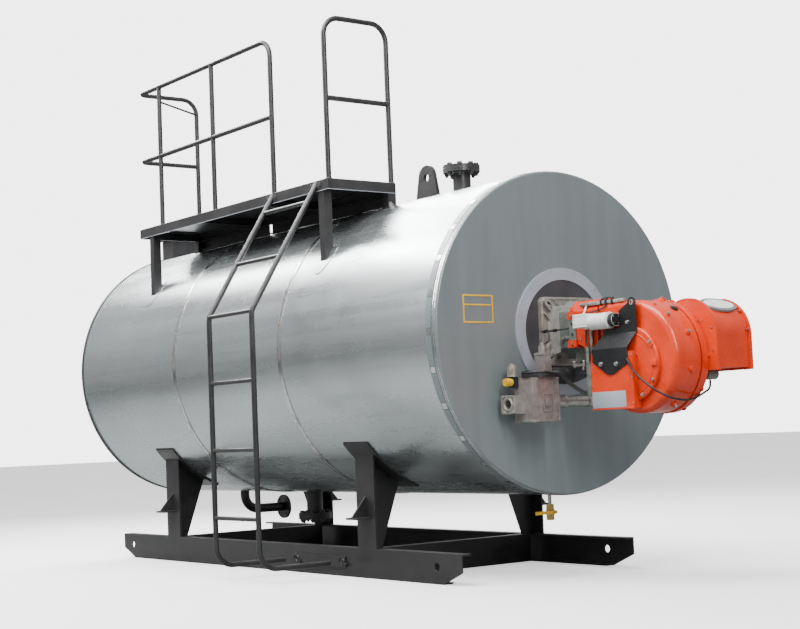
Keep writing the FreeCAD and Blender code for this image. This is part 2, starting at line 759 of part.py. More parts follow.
def make_top_fittings():
    x = front_x - lift_lug_setback
    half = lift_lug_base / 2
    centre_z = lift_lug_top - lift_lug_head
    tilt = math.acos(lift_lug_head / math.hypot(half, centre_z - axis_height - shell_height(0)))
    lean = math.atan2(half, centre_z - axis_height - shell_height(0))
    angle = lean + tilt - math.pi / 2
    touch = (lift_lug_head * math.cos(angle), lift_lug_head * math.sin(angle))
    foot_z = crest_z
    body = plate([(x - half, -lift_lug_thick / 2, foot_z - 2),
                  (x + half, -lift_lug_thick / 2, foot_z - 2),
                  (x + touch[0], -lift_lug_thick / 2, centre_z + touch[1]),
                  (x - touch[0], -lift_lug_thick / 2, centre_z + touch[1])], (0, lift_lug_thick, 0))
    head = rod(lift_lug_head, (x, -lift_lug_thick / 2, centre_z), (x, lift_lug_thick / 2, centre_z))
    hole = rod(lift_lug_hole, (x, -lift_lug_thick, centre_z), (x, lift_lug_thick, centre_z))
    lug = fused([body, head]).cut([hole, around_axis(shell_radius, rear_x, front_x)])
    parts["lifting_lug"] = lug

    x_low = flue_x - flue_length / 2
    x_high = flue_x + flue_length / 2
    half_width = flue_width / 2
    duct = box((x_low, -half_width, axis_height), (x_high, half_width, flue_top))
    hollow = box((x_low + flue_wall, -half_width + flue_wall, axis_height),
                 (x_high - flue_wall, half_width - flue_wall, flue_top))
    lip = box((x_low - flue_flange, -half_width - flue_flange, flue_top - flue_flange_thick),
              (x_high + flue_flange, half_width + flue_flange, flue_top))
    cladding = around_axis(shell_radius, 2 * rear_x, front_x)
    parts["flue_outlet"] = fused([duct, lip]).cut([hollow, cladding])


# ---- burner -------------------------------------------------------------------------------
def at(reach, y, height):
    """A point given ahead of the front face and above the boiler's axis."""
    return (front_x + reach, y, axis_height + height)


def burner_box(low, high, rounding=0.0):
    """A burner block, its long edges along X rounded."""
    block = box(at(*low), at(*high))
    if rounding:
        edges = [edge for edge in block.Edges if edge.BoundBox.XLength > 1]
        block = block.makeFillet(rounding, edges)
    return block


def chamfered(back, front, half, low, high, cut):
    """A block along X with a straight bevel along its four long edges."""
    outline = [(-half, low + cut), (-half, high - cut), (-half + cut, high), (half - cut, high),
               (half, high - cut), (half, low + cut), (half - cut, low), (-half + cut, low)]
    return plate([at(back, y, z) for y, z in outline], (front - back, 0, 0))


def make_burner_mount():
    half = mount_size / 2
    flange = burner_box((plate_thick, -half, -half), (plate_thick + mount_thick, half, half), mount_corner)
    face = plate_thick + mount_thick
    low = hub_base / 2
    high = hub_top / 2
    base = [(low, low), (-low, low), (-low, -low), (low, -low)]
    top = [(high, high), (-high, high), (-high, -high), (high, -high)]
    wires = []
    for reach, corners in ((face, base), (hub_reach, top)):
        loop = [Vector(*at(reach, y, z)) for y, z in corners]
        wires.append(Part.makePolygon(loop + loop[:1]))
    hub = Part.makeLoft(wires, True, True)
    head = rod(head_radius, at(-head_length, 0, 0), at(plate_thick, 0, 0))
    slots = []
    for turn in (45, 135, 225, 315):
        inner = mount_slot_offset * math.sqrt(2) - mount_slot_length / 2
        slot = burner_box((0, inner, -mount_slot_width / 2),
                          (2 * face, inner + mount_slot_length, mount_slot_width / 2),
                          mount_slot_width * 0.49)
        slot.rotate(Vector(*at(0, 0, 0)), Vector(1, 0, 0), turn)
        slots.append(slot)
    parts["burner_flange"] = fused([flange, hub, head]).cut(slots)
    neck = chamfered(hub_reach, neck_reach, neck_width / 2, neck_low, neck_high, neck_chamfer)
    foot_half = neck_foot_width / 2
    foot = burner_box((neck_reach, -foot_half, neck_foot_low), (neck_foot_front, foot_half, body_low))
    parts["burner_neck"] = fused([neck, foot])


def make_burner_body():
    """The body: a chamfered casting whose underside sweeps down into the fan casing's throat."""
    throat = fan_reach - fan_throat
    half = body_width / 2
    low = [(neck_reach, body_low), (body_sweep_start, body_low)]
    middle = (body_sweep_start + (body_sweep_end - body_sweep_start) * 0.72,
              body_low + (body_sweep_low - body_low) * 0.30)
    points = [Vector(*at(x, -half, z)) for x, z in low + [middle, (body_sweep_end, body_sweep_low)]]
    corners = [Vector(*at(x, -half, z)) for x, z in ((throat, body_sweep_low), (throat, body_high),
                                                    (neck_reach, body_high))]
    edges = [
        Part.LineSegment(points[0], points[1]).toShape(),
        Part.Arc(points[1], points[2], points[3]).toShape(),
        Part.LineSegment(points[3], corners[0]).toShape(),
        Part.LineSegment(corners[0], corners[1]).toShape(),
        Part.LineSegment(corners[1], corners[2]).toShape(),
        Part.LineSegment(corners[2], points[0]).toShape(),
    ]
    side = Part.Face(Part.Wire(edges)).extrude(Vector(0, half + fan_far_y, 0))
    shape = chamfered(neck_reach, throat, half, 2 * body_sweep_low, body_high, body_chamfer)
    body = side.common(shape)
    # hinge lugs stand proud of the near side, with the hinge block between them
    foot = parts["burner_neck"]
    lug_high = body_high - body_chamfer
    lug_low = lug_high - body_lug_thick
    lugs = [burner_box((neck_reach, -half - body_lug_reach, lug_low), (body_lug_front, -half / 2, lug_high)),
            burner_box((neck_reach, -half - body_lug_reach, lug_low - body_lug_gap - body_lug_thick),
                       (body_lug_front, -half / 2, lug_low - body_lug_gap))]
    parts["burner_body"] = fused([body] + lugs).cut(foot)
    parts["burner_hinge"] = burner_box((hinge_back, -half - hinge_reach, lug_low - body_lug_gap),
                                       (hinge_front, -half, lug_low))


def fan_outline(grow):
    """The scroll's spiral outline round the fan's axis, in X and Z, grown outwards by a little."""
    def spot(angle, radius):
        turn = math.radians(angle)
        return (fan_reach + (radius + grow) * math.cos(turn), -fan_drop + (radius + grow) * math.sin(turn))
    bottom = spot(-90, fan_radius_bottom)
    lower = spot(-45, (fan_radius_bottom + fan_radius_front) / 2)
    front = spot(0, fan_radius_front)
    upper = spot(45, (fan_radius_front + fan_radius_top) / 2)
    top = spot(90, fan_radius_top)
    throat_top = (fan_reach - fan_throat, top[1])
    throat_low = (fan_reach - fan_throat, -fan_drop)
    back = spot(-135, (fan_radius_bottom + fan_throat) / 2 - grow)
    return bottom, lower, front, upper, top, throat_top, throat_low, back


def scroll_slice(y_low, y_high, grow):
    """A slice of the fan's scroll between two planes across its axis."""
    spots = [Vector(*at(x, y_low, z)) for x, z in fan_outline(grow)]
    bottom, lower, front, upper, top, throat_top, throat_low, back = spots
    edges = [
        Part.Arc(bottom, lower, front).toShape(),
        Part.Arc(front, upper, top).toShape(),
        Part.LineSegment(top, throat_top).toShape(),
        Part.LineSegment(throat_top, throat_low).toShape(),
        Part.Arc(throat_low, back, bottom).toShape(),
    ]
    return Part.Face(Part.Wire(edges)).extrude(Vector(0, y_high - y_low, 0))


def make_fan():
    near = scroll_slice(fan_near_y, fan_split_y, 0)
    rim = [edge for edge in near.Edges if abs(edge.BoundBox.YMax - fan_near_y) < 0.1
           and edge.BoundBox.XMax > front_x + fan_reach - fan_throat + 1]
    near = near.makeFillet(fan_shoulder, rim)
    groove = scroll_slice(fan_split_y, fan_split_y + fan_groove, -fan_groove_depth)
    far = scroll_slice(fan_split_y + fan_groove, fan_far_y, fan_far_lip)
    parts["fan_scroll"] = fused([near, groove, far])
    centre = at(fan_reach, fan_near_y, -fan_drop)
    lid = rod(cover_radius, (centre[0], fan_near_y - cover_thick, centre[2]), centre)
    edge = [edge for edge in lid.Edges if abs(edge.BoundBox.YMax - fan_near_y + cover_thick) < 0.1]
    parts["scroll_cover"] = lid.makeFillet(cover_thick * 0.4, edge)


def arch(y_low, y_high, grow):
    """A block with an arched top and a flat foot, across the burner."""
    radius = intake_radius + grow
    low = -intake_drop - intake_foot - grow
    left = Vector(*at(intake_reach - radius, y_low, -intake_drop))
    right = Vector(*at(intake_reach + radius, y_low, -intake_drop))
    top = Vector(*at(intake_reach, y_low, -intake_drop + radius))
    foot_left = Vector(*at(intake_reach - radius, y_low, low))
    foot_right = Vector(*at(intake_reach + radius, y_low, low))
    edges = [
        Part.Arc(left, top, right).toShape(),
        Part.LineSegment(right, foot_right).toShape(),
        Part.LineSegment(foot_right, foot_left).toShape(),
        Part.LineSegment(foot_left, left).toShape(),
    ]
    return Part.Face(Part.Wire(edges)).extrude(Vector(0, y_high - y_low, 0))


def make_intake():
    drum = arch(fan_far_y, intake_far_y, 0)
    end = arch(intake_far_y, intake_far_y + intake_flange_thick, intake_flange)
    root = arch(fan_far_y, fan_far_y + intake_flange_thick, intake_flange)
    parts["air_intake"] = fused([drum, end, root])
    under = -intake_drop - intake_foot
    parts["damper_motor"] = rod(damper_radius, at(damper_reach, damper_y, under - damper_radius),
                                at(damper_reach, damper_y + damper_length, under - damper_radius))


def make_gas_box():
    face = burner_box((gas_box_back, gas_box_near_y, gas_box_low), (gas_box_front, fan_near_y, gas_box_high))
    throat = fan_reach - fan_throat
    root = burner_box((gas_box_back, gas_box_near_y, gas_box_low),
                      (throat + gas_box_root_lap, gas_box_root_y, body_sweep_low))
    parts["gas_box"] = fused([face, root]).cut([parts["scroll_cover"], parts["fan_scroll"]])
    back = gas_box_back - gas_adapter_thick
    flange = burner_box((back, gas_box_near_y, gas_adapter_low),
                        (gas_box_back, gas_box_near_y + gas_adapter_depth, gas_adapter_high))
    parts["gas_adapter"] = flange.cut([parts["burner_body"], parts["burner_neck"]])


def make_servo_and_bracket():
    half = servo_case_size / 2
    low = servo_case_height - half
    case = burner_box((servo_back, servo_near_y, low), (servo_split, -body_width / 2, low + servo_case_size),
                      servo_round)
    middle_y = servo_near_y + servo_drum_radius
    drum = rod(servo_drum_radius, at(servo_split, middle_y, servo_drum_height),
               at(servo_front, middle_y, servo_drum_height))
    cap = rod(servo_cap_radius, at(servo_front, middle_y, servo_drum_height),
              at(servo_cap_front, middle_y, servo_drum_height))
    parts["servo_motor"] = fused([case, drum, cap]).cut(parts["fan_scroll"])

    back = gas_box_near_y
    face = back - bracket_thick
    tip = (bracket_tip_reach, bracket_tip + bracket_tip_radius)
    rim = []
    for lean, reach in ((bracket_front_lean, bracket_front), (-bracket_back_lean, bracket_back)):
        turn = math.radians(lean)
        touch = (tip[0] + bracket_tip_radius * math.sin(turn), tip[1] - bracket_tip_radius * math.cos(turn))
        rim.append((touch, (reach, touch[1] + (reach - touch[0]) * math.tan(turn))))
    (front_touch, front_corner), (back_touch, back_corner) = rim
    low_outline = [(bracket_back, bracket_fold), (bracket_front, bracket_fold), front_corner, front_touch,
                   back_touch, back_corner]
    low_plate = plate([at(x, face, z) for x, z in low_outline], (0, bracket_thick, 0))
    nose = rod(bracket_tip_radius, at(tip[0], face, tip[1]), at(tip[0], back, tip[1]))
    up = bracket_upper_y - bracket_thick
    shelf = plate([at(bracket_back, face, bracket_fold),
                   at(bracket_front, face, bracket_fold),
                   at(bracket_upper_front, up, bracket_upper_fold),
                   at(bracket_upper_back, up, bracket_upper_fold)], (0, bracket_thick, 0))
    end = servo_cap_front + bracket_notch_gap
    under = servo_drum_height - servo_drum_radius - bracket_notch_gap
    high_plate = plate([at(bracket_upper_back, up, bracket_upper_fold),
                        at(bracket_upper_front, up, bracket_upper_fold),
                        at(bracket_upper_front, up, bracket_ear_height),
                        at(bracket_ear_reach - bracket_ear_radius, up, bracket_ear_height),
                        at(end, up, low + servo_case_size),
                        at(end, up, under),
                        at(bracket_upper_back, up, under)], (0, bracket_thick, 0))
    ear_low = at(bracket_ear_reach, up, bracket_ear_height)
    ear_high = at(bracket_ear_reach, bracket_upper_y, bracket_ear_height)
    bracket = fused([low_plate, nose, shelf, high_plate, rod(bracket_ear_radius, ear_low, ear_high)])
    parts["servo_bracket"] = bracket.cut(rod(bracket_ear_hole, ear_low, ear_high))


def make_gas_train():
    parts["gas_valve"] = burner_box((valve_block_back, valve_block_near_y, valve_block_low),
                                    (valve_block_front, valve_block_far_y, valve_block_high))
    half = gas_inlet_size / 2
    end_y = valve_block_near_y - gas_inlet_length
    inlet = box(at(gas_inlet_reach - half, end_y, gas_inlet_level - half),
                at(gas_inlet_reach + half, valve_block_near_y, gas_inlet_level + half))
    bore = rod(gas_inlet_bore, at(gas_inlet_reach, end_y, gas_inlet_level),
               at(gas_inlet_reach, valve_block_near_y, gas_inlet_level))
    parts["gas_inlet"] = inlet.cut(bore)
    pipe = bent_tube([at(gas_pipe_reach, valve_block_far_y, gas_pipe_level),
                      at(gas_pipe_reach, gas_pipe_turn_y, gas_pipe_level),
                      at(gas_box_back, gas_pipe_turn_y, gas_pipe_level)],
                     [gas_pipe_bend], gas_pipe_radius)
    stub = rod(gas_stub_radius, at(gas_pipe_reach, valve_block_far_y, gas_pipe_level),
               at(gas_pipe_reach, gas_stub_far_y, gas_pipe_level))
    union = rod(gas_union_radius, at(gas_pipe_reach, gas_union_low_y, gas_pipe_level),
                at(gas_pipe_reach, gas_union_high_y, gas_pipe_level))
    parts["gas_pipe"] = fused([pipe, stub, union])


def make_gas_fittings():
    low = valve_block_high + valve_disc_thick
    parts["valve_diaphragm"] = rod(valve_disc_radius, at(valve_disc_reach, valve_disc_y, valve_block_high),
                                   at(valve_disc_reach, valve_disc_y, low))
    half = actuator_width / 2
    deep = actuator_depth / 2
    case = burner_box((actuator_reach - half, actuator_y - deep, low),
                      (actuator_reach + half, actuator_y + deep, actuator_high))
    neck = rod(actuator_cap_radius, at(actuator_reach, actuator_y, actuator_high),
               at(actuator_reach, actuator_y, actuator_high + actuator_cap))
    parts["valve_actuator"] = fused([case, neck])

    near = valve_block_near_y
    face = near - plug_reach
    middle = ((plug_back + plug_front) / 2, (plug_low + plug_high) / 2)
    parts["pressure_plug"] = burner_box((plug_back, face, plug_low), (plug_front, near, plug_high),
                                        servo_round)
    parts["plug_cap"] = rod(plug_cap_radius, at(middle[0], face - plug_cap_length, middle[1]),
                            at(middle[0], face, middle[1]))
    parts["vent_knob"] = rod(vent_radius, at(vent_reach, vent_y, plug_high), at(vent_reach, vent_y, vent_top))

    straight = valve_block_far_y + switch_length * (1 - switch_taper)
    body = rod(switch_radius, at(gas_pipe_reach, valve_block_far_y, switch_height),
               at(gas_pipe_reach, straight, switch_height))
    tip = Part.makeCone(switch_radius, switch_radius / 3, switch_length * switch_taper,
                        Vector(*at(gas_pipe_reach, straight, switch_height)), Vector(0, 1, 0))
    parts["gas_pressure_switch"] = fused([body, tip])


def make_slide_bar():
    """The bar lies along whichever is higher, the fan casing's shoulder or the body's bevel."""
    shoulder = (fan_near_y + fan_shoulder, fan_radius_top - fan_drop - fan_shoulder)
    reach = fan_shoulder + slide_bar_radius + slide_bar_gap
    on_fan = shoulder[1] + math.sqrt(reach ** 2 - (slide_bar_y - shoulder[0]) ** 2)
    bevel_rise = slide_bar_y + body_width / 2
    on_body = body_high - body_chamfer + bevel_rise + (slide_bar_radius + slide_bar_gap) * math.sqrt(2)
    height = max(on_fan, on_body)
    parts["slide_bar"] = rod(slide_bar_radius, at(slide_bar_back, slide_bar_y, height),
                             at(slide_bar_front, slide_bar_y, height))


def lead(points):
    """A lead through the points, each arc as large as the runs beside it leave room for."""
    route = [Vector(*point) for point in points]
    bends = []
    for before, corner, after in zip(route, route[1:], route[2:]):
        half_turn = (corner - before).getAngle(after - corner) / 2
        shorter = min((corner - before).Length, (after - corner).Length)
        bends.append(0.45 * shorter / math.tan(half_turn))
    print("lead", "smallest arc radius", round(min(bends), 1), "mm")
    return bent_tube(points, bends, cable_radius)


def make_cables():
    """Leads held between the burner's housings."""
    beside = gas_box_near_y - bracket_thick - cable_radius - cable_bed
    motor_foot = -intake_drop - intake_foot - 2 * damper_radius - cable_bed
    middle_y = damper_y + damper_length / 2
    parts["damper_cable"] = lead([
        at(bracket_front, beside, -200), at(760, -214, -265), at(808, -213, -311), at(901, -200, -380),
        at(965, -150, -424), at(985, -60, -441), at(948, 60, -428), at(957, 108, -405),
        at(damper_reach - 4, middle_y, -380), at(damper_reach, middle_y, motor_foot)])

    coil_z = valve_block_high + valve_disc_thick + cable_radius + cable_bed / 2
    coil = Part.makeTorus(coil_radius, cable_radius, Vector(*at(valve_disc_reach, valve_disc_y, coil_z)))
    # the leads meet the adapter aslant, so their ends stop most of a radius short of it
    end_reach = gas_box_back - gas_adapter_thick - 0.9 * cable_radius - cable_bed
    strands = [coil]
    for strand in (0, 1):
        shift_y = strand * lead_pitch_y
        shift_z = strand * lead_pitch_z
        start_y = shift_y + cable_radius
        start_reach = valve_disc_reach + math.sqrt(coil_radius ** 2 - start_y ** 2)
        strands.append(lead([
            at(start_reach, valve_disc_y + start_y, coil_z),
            at(302, -330 + shift_y, -252 + shift_z),
            at(314, -290 + shift_y, -306 + shift_z),
            at(350, -240 + shift_y, -354 + shift_z),
            at(end_reach, -195 + shift_y, -386 + shift_z)]))
    parts["valve_cables"] = fused(strands)


make_vessel()
make_base()
make_platform()
make_railings()
make_ladder()
make_nozzles()
make_drain_valve()
make_top_fittings()
make_burner_mount()
make_burner_body()
make_fan()
make_intake()
make_gas_box()
make_servo_and_bracket()
make_gas_train()
make_gas_fittings()
make_slide_bar()
make_cables()

os.makedirs("parts", exist_ok=True)
for name, shape in parts.items():
    shape.exportStep("parts/" + name + ".step")
    solids = len(shape.Solids)
    print(name, solids, "solid" if solids == 1 else "solids", "valid" if shape.isValid() else "NOT VALID")
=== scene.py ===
import bmesh
import bpy
import json
import math
from mathutils import Matrix, Vector


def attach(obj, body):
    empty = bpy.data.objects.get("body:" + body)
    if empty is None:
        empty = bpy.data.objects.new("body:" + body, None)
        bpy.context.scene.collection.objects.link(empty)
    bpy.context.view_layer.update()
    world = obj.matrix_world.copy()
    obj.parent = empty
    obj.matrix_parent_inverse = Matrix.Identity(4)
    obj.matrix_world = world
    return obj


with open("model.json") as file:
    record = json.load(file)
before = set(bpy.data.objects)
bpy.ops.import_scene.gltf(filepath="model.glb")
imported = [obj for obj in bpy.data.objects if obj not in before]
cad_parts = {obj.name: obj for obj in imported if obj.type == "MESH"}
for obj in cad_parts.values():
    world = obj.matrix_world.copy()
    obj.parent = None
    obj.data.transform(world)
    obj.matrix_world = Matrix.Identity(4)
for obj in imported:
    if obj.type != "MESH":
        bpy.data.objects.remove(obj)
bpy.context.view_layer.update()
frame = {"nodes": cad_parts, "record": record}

# ---- sizes of the CAD model, in metres ----------------------------------------------------
AXIS_Z = 1.430
SHELL_R = 0.950
FRONT_X = 1.121
STEAM_X = 0.237
BLOWDOWN_X = -1.606
STILES_X = (-0.257, -0.779)
DECK_X = (-2.670, -0.114)       # the platform's rear and front ends


# ---- materials ----------------------------------------------------------------------------
class Shader:
    """A small builder for a Principled material whose detail is in object space, in metres."""

    def __init__(self, name):
        self.mat = bpy.data.materials.new(name)
        self.mat.use_nodes = True
        self.tree = self.mat.node_tree
        self.tree.nodes.clear()
        self.out = self.add("ShaderNodeOutputMaterial")
        self.bsdf = self.add("ShaderNodeBsdfPrincipled")
        self.link(self.bsdf.outputs[0], self.out.inputs[0])
        self.coords = self.add("ShaderNodeTexCoord").outputs["Object"]
        self.normal = None

    def add(self, kind, **values):
        node = self.tree.nodes.new(kind)
        for key, value in values.items():
            setattr(node, key, value)
        return node

    def link(self, a, b):
        self.tree.links.new(a, b)

    def put(self, socket, value):
        if isinstance(value, bpy.types.NodeSocket):
            self.link(value, socket)
        else:
            socket.default_value = value

    def stretched(self, scale, turn=(0, 0, 0)):
        node = self.add("ShaderNodeMapping")
        self.link(self.coords, node.inputs["Vector"])
        node.inputs["Scale"].default_value = scale
        node.inputs["Rotation"].default_value = turn
        return node.outputs[0]

    def noise(self, scale, detail=4.0, rough=0.55, vector=None, distortion=0.0):
        node = self.add("ShaderNodeTexNoise")
        self.link(vector or self.coords, node.inputs["Vector"])
        node.inputs["Scale"].default_value = scale
        node.inputs["Detail"].default_value = detail
        node.inputs["Roughness"].default_value = rough
        node.inputs["Distortion"].default_value = distortion
        return node.outputs["Fac"]

    def ramp(self, value, low, high, out_low=0.0, out_high=1.0):
        node = self.add("ShaderNodeMapRange")
        node.interpolation_type = "SMOOTHSTEP"
        self.link(value, node.inputs["Value"])
        for key, number in (("From Min", low), ("From Max", high), ("To Min", out_low), ("To Max", out_high)):
            node.inputs[key].default_value = number
        return node.outputs[0]

    def math(self, operation, a, b=0.0, c=0.0):
        node = self.add("ShaderNodeMath", operation=operation)
        for socket, value in zip(node.inputs, (a, b, c)):
            self.put(socket, value)
        return node.outputs[0]

    def mix(self, share, a, b):
        node = self.add("ShaderNodeMix", data_type="RGBA")
        self.put(node.inputs["Factor"], share)
        color_a, color_b, color_out = 6, 7, 2       # the colour sockets of a Mix node
        for key, value in ((color_a, a), (color_b, b)):
            if isinstance(value, tuple):
                node.inputs[key].default_value = (*value, 1.0)
            else:
                self.link(value, node.inputs[key])
        return node.outputs[color_out]

    def bump(self, height, distance, strength=1.0):
        node = self.add("ShaderNodeBump")
        node.inputs["Strength"].default_value = strength
        node.inputs["Distance"].default_value = distance
        self.link(height, node.inputs["Height"])
        if self.normal:
            self.link(self.normal, node.inputs["Normal"])
        self.normal = node.outputs[0]

    def edges(self, radius):
        """1 along worn outside edges, 0 on flat faces."""
        bevel = self.add("ShaderNodeBevel", samples=4)
        bevel.inputs["Radius"].default_value = radius
        plain = self.add("ShaderNodeNewGeometry").outputs["Normal"]
        dot = self.add("ShaderNodeVectorMath", operation="DOT_PRODUCT")
        self.link(bevel.outputs[0], dot.inputs[0])
        self.link(plain, dot.inputs[1])
        return self.ramp(dot.outputs["Value"], 0.995, 0.86, 0.0, 1.0)

    def facing_up(self, low=0.5, high=0.95):
        plain = self.add("ShaderNodeNewGeometry").outputs["Normal"]
        split = self.add("ShaderNodeSeparateXYZ")
        self.link(plain, split.inputs[0])
        return self.ramp(split.outputs["Z"], low, high)

    def finish(self, color, metallic, roughness, coat=0.0, coat_roughness=0.1, specular=0.5):
        inputs = self.bsdf.inputs
        if isinstance(color, tuple):
            inputs["Base Color"].default_value = (*color, 1.0)
        else:
            self.link(color, inputs["Base Color"])
        self.put(inputs["Metallic"], metallic)
        self.put(inputs["Roughness"], roughness)
        inputs["Coat Weight"].default_value = coat
        inputs["Coat Roughness"].default_value = coat_roughness
        inputs["Specular IOR Level"].default_value = specular
        if self.normal:
            self.link(self.normal, inputs["Normal"])
        return self.mat


def shade(color, factor):
    return tuple(min(1.0, channel * factor) for channel in color)


def sheet_metal(name, color, metallic, rough, streak, waviness, grain=0.00003):
    """Rolled sheet: streaks along the boiler, soft unevenness and a fine grain."""
    s = Shader(name)
    streaks = s.noise(9.0, 5.0, 0.6, s.stretched(streak))
    clouds = s.noise(1.7, 3.0, 0.5)
    fine = s.noise(900.0, 2.0, 0.5, s.stretched((0.15, 1, 1)))
    mixed = s.math("ADD", s.math("MULTIPLY", streaks, 0.6), s.math("MULTIPLY", clouds, 0.4))
    tint = s.mix(s.ramp(mixed, 0.32, 0.68), shade(color, 0.93), shade(color, 1.06))
    smudge = s.ramp(s.noise(5.5, 6.0, 0.65, None, 0.6), 0.5, 0.72)
    roughness = s.math("ADD", s.ramp(streaks, 0.3, 0.7, rough - 0.035, rough + 0.035),
                       s.math("MULTIPLY", smudge, 0.04))
    s.bump(clouds, waviness)
    s.bump(fine, grain)
    return s.finish(tint, metallic, roughness)


def painted_steel(name, color, rough, worn, wear_amount=0.5, dust=(0.30, 0.27, 0.25), dust_amount=0.25,
                  edge=0.004, coat=0.0):
    """Brushed or sprayed paint: orange peel, brush unevenness, rubbed edges and dust on top."""
    s = Shader(name)
    patches = s.noise(6.0, 6.0, 0.6)
    fine = s.noise(160.0, 3.0, 0.6)
    tint = s.mix(s.ramp(patches, 0.3, 0.7), shade(color, 0.82), shade(color, 1.22))
    settled = s.math("MULTIPLY", s.facing_up(), s.ramp(s.noise(14.0, 6.0, 0.7), 0.38, 0.75, 0.0, dust_amount))
    tint = s.mix(settled, tint, dust)
    rubbed = s.math("MULTIPLY", s.edges(edge), s.ramp(s.noise(38.0, 6.0, 0.7), 0.42, 0.62, 0.0, wear_amount))
    tint = s.mix(rubbed, tint, worn)
    roughness = s.math("ADD", s.ramp(patches, 0.3, 0.7, rough - 0.06, rough + 0.08),
                       s.math("MULTIPLY", settled, 0.5))
    s.bump(fine, 0.0002)
    s.bump(patches, 0.0015)
    return s.finish(tint, 0.0, roughness, coat, 0.15)


def casting(name, color, metallic, rough, scale=240.0, depth=0.0005, pits=0.25):
    """Sand or die casting: grainy skin, mottled tone, brighter edges."""
    s = Shader(name)
    mottled = s.noise(22.0, 6.0, 0.65)
    grain = s.noise(scale, 4.0, 0.7)
    tint = s.mix(s.ramp(mottled, 0.3, 0.7), shade(color, 0.78), shade(color, 1.15))
    tint = s.mix(s.ramp(grain, 0.55, 0.75, 0.0, pits), tint, shade(color, 0.45))
    tint = s.mix(s.math("MULTIPLY", s.edges(0.002), 0.35), tint, shade(color, 1.5))
    roughness = s.ramp(grain, 0.3, 0.7, rough - 0.08, rough + 0.12)
    s.bump(grain, depth)
    return s.finish(tint, metallic, roughness)


def gloss_paint(name, color, rough=0.28):
    """Enamel over a casting: orange peel, a wet clear top and painted shade darkening the hollows."""
    s = Shader(name)
    peel = s.noise(75.0, 2.0, 0.5)
    clouds = s.noise(7.0, 4.0, 0.55)
    tint = s.mix(s.ramp(clouds, 0.3, 0.7), shade(color, 0.90), shade(color, 1.08))
    # painted shade: the colour darkens where ambient occlusion finds hollows
    hollow = s.add("ShaderNodeAmbientOcclusion", samples=4)
    hollow.inputs["Distance"].default_value = 0.04
    hollow_shade = s.ramp(hollow.outputs["AO"], 0.75, 0.35, 0.0, 0.45)
    tint = s.mix(hollow_shade, tint, shade(color, 0.35))
    roughness = s.ramp(clouds, 0.3, 0.7, rough - 0.04, rough + 0.07)
    s.bump(peel, 0.00035)
    return s.finish(tint, 0.0, roughness, 0.30, 0.06, 0.35)


def plastic(name, color, rough, scale=350.0):
    """Moulded plastic with spark-eroded grain."""
    s = Shader(name)
    grain = s.noise(scale, 3.0, 0.6)
    clouds = s.noise(12.0, 4.0, 0.6)
    tint = s.mix(s.ramp(clouds, 0.3, 0.7), shade(color, 0.88), shade(color, 1.08))
    roughness = s.ramp(grain, 0.3, 0.7, rough - 0.07, rough + 0.07)
    s.bump(grain, 0.00018)
    return s.finish(tint, 0.0, roughness)


def turned_metal(name, color, rough, metallic=1.0):
    """Plated or turned metal: fine turning marks and small stains."""
    s = Shader(name)
    marks = s.noise(260.0, 3.0, 0.5, s.stretched((1, 1, 0.12)))
    stains = s.noise(30.0, 6.0, 0.65)
    tint = s.mix(s.ramp(stains, 0.35, 0.7), shade(color, 1.08), shade(color, 0.72))
    roughness = s.math("ADD", s.ramp(marks, 0.3, 0.7, rough - 0.05, rough + 0.07),
                       s.ramp(stains, 0.5, 0.8, 0.0, 0.12))
    s.bump(marks, 0.00012)
    return s.finish(tint, metallic, roughness)


MATS = {
    "cladding": sheet_metal("cladding_sheet", (0.56, 0.60, 0.61), 0.92, 0.27, (0.05, 1, 1), 0.0025),
    "end_cover": sheet_metal("end_cover_sheet", (0.24, 0.28, 0.29), 0.45, 0.38, (1, 1, 0.1), 0.003),
    "stainless_band": turned_metal("stainless_band", (0.72, 0.72, 0.70), 0.13),
    "dark_trim": painted_steel("dark_trim", (0.045, 0.045, 0.05), 0.45, (0.25, 0.25, 0.25)),
    "light_ring": sheet_metal("light_ring", (0.42, 0.46, 0.52), 0.35, 0.45, (1, 1, 1), 0.001),
    "charcoal_paint": painted_steel("charcoal_paint", (0.024, 0.0235, 0.0245), 0.38, (0.16, 0.13, 0.125)),
    "deck_plate": painted_steel("deck_plate", (0.035, 0.035, 0.037), 0.45, (0.18, 0.17, 0.17)),
    "zinc_pipe": turned_metal("zinc_pipe", (0.50, 0.49, 0.46), 0.36, 0.9),
    "brass": turned_metal("brass", (0.62, 0.42, 0.14), 0.28),
    "yellow_paint": gloss_paint("yellow_paint", (0.80, 0.47, 0.015)),
    "cast_aluminium": casting("cast_aluminium", (0.46, 0.43, 0.39), 0.75, 0.46),
    "grey_casting": casting("grey_casting", (0.20, 0.22, 0.20), 0.35, 0.5),
    "orange_paint": gloss_paint("orange_paint", (0.70, 0.040, 0.004), 0.26),
    "white_plastic": plastic("white_plastic", (0.78, 0.79, 0.77), 0.38),
    "black_plate": painted_steel("black_plate", (0.012, 0.012, 0.013), 0.32, (0.15, 0.14, 0.14), 0.3),
    "valve_casting": casting("valve_casting", (0.31, 0.275, 0.262), 0.55, 0.44),
    "black_plastic": plastic("black_plastic", (0.014, 0.014, 0.016), 0.42),
    "black_rubber": plastic("black_rubber", (0.012, 0.012, 0.012), 0.5),
}
slots = {row["node"]: row["material_slot"] for row in frame["record"]["subparts"]}
for node, obj in frame["nodes"].items():
    obj.data.materials.clear()
    obj.data.materials.append(MATS[slots[node]])

# ---- shapes for the small parts -----------------------------------------------------------
def at(reach, y, height):
    """A point on the burner, in millimetres ahead of the front face and above the axis."""
    return Vector((FRONT_X + reach / 1000, y / 1000, AXIS_Z + height / 1000))


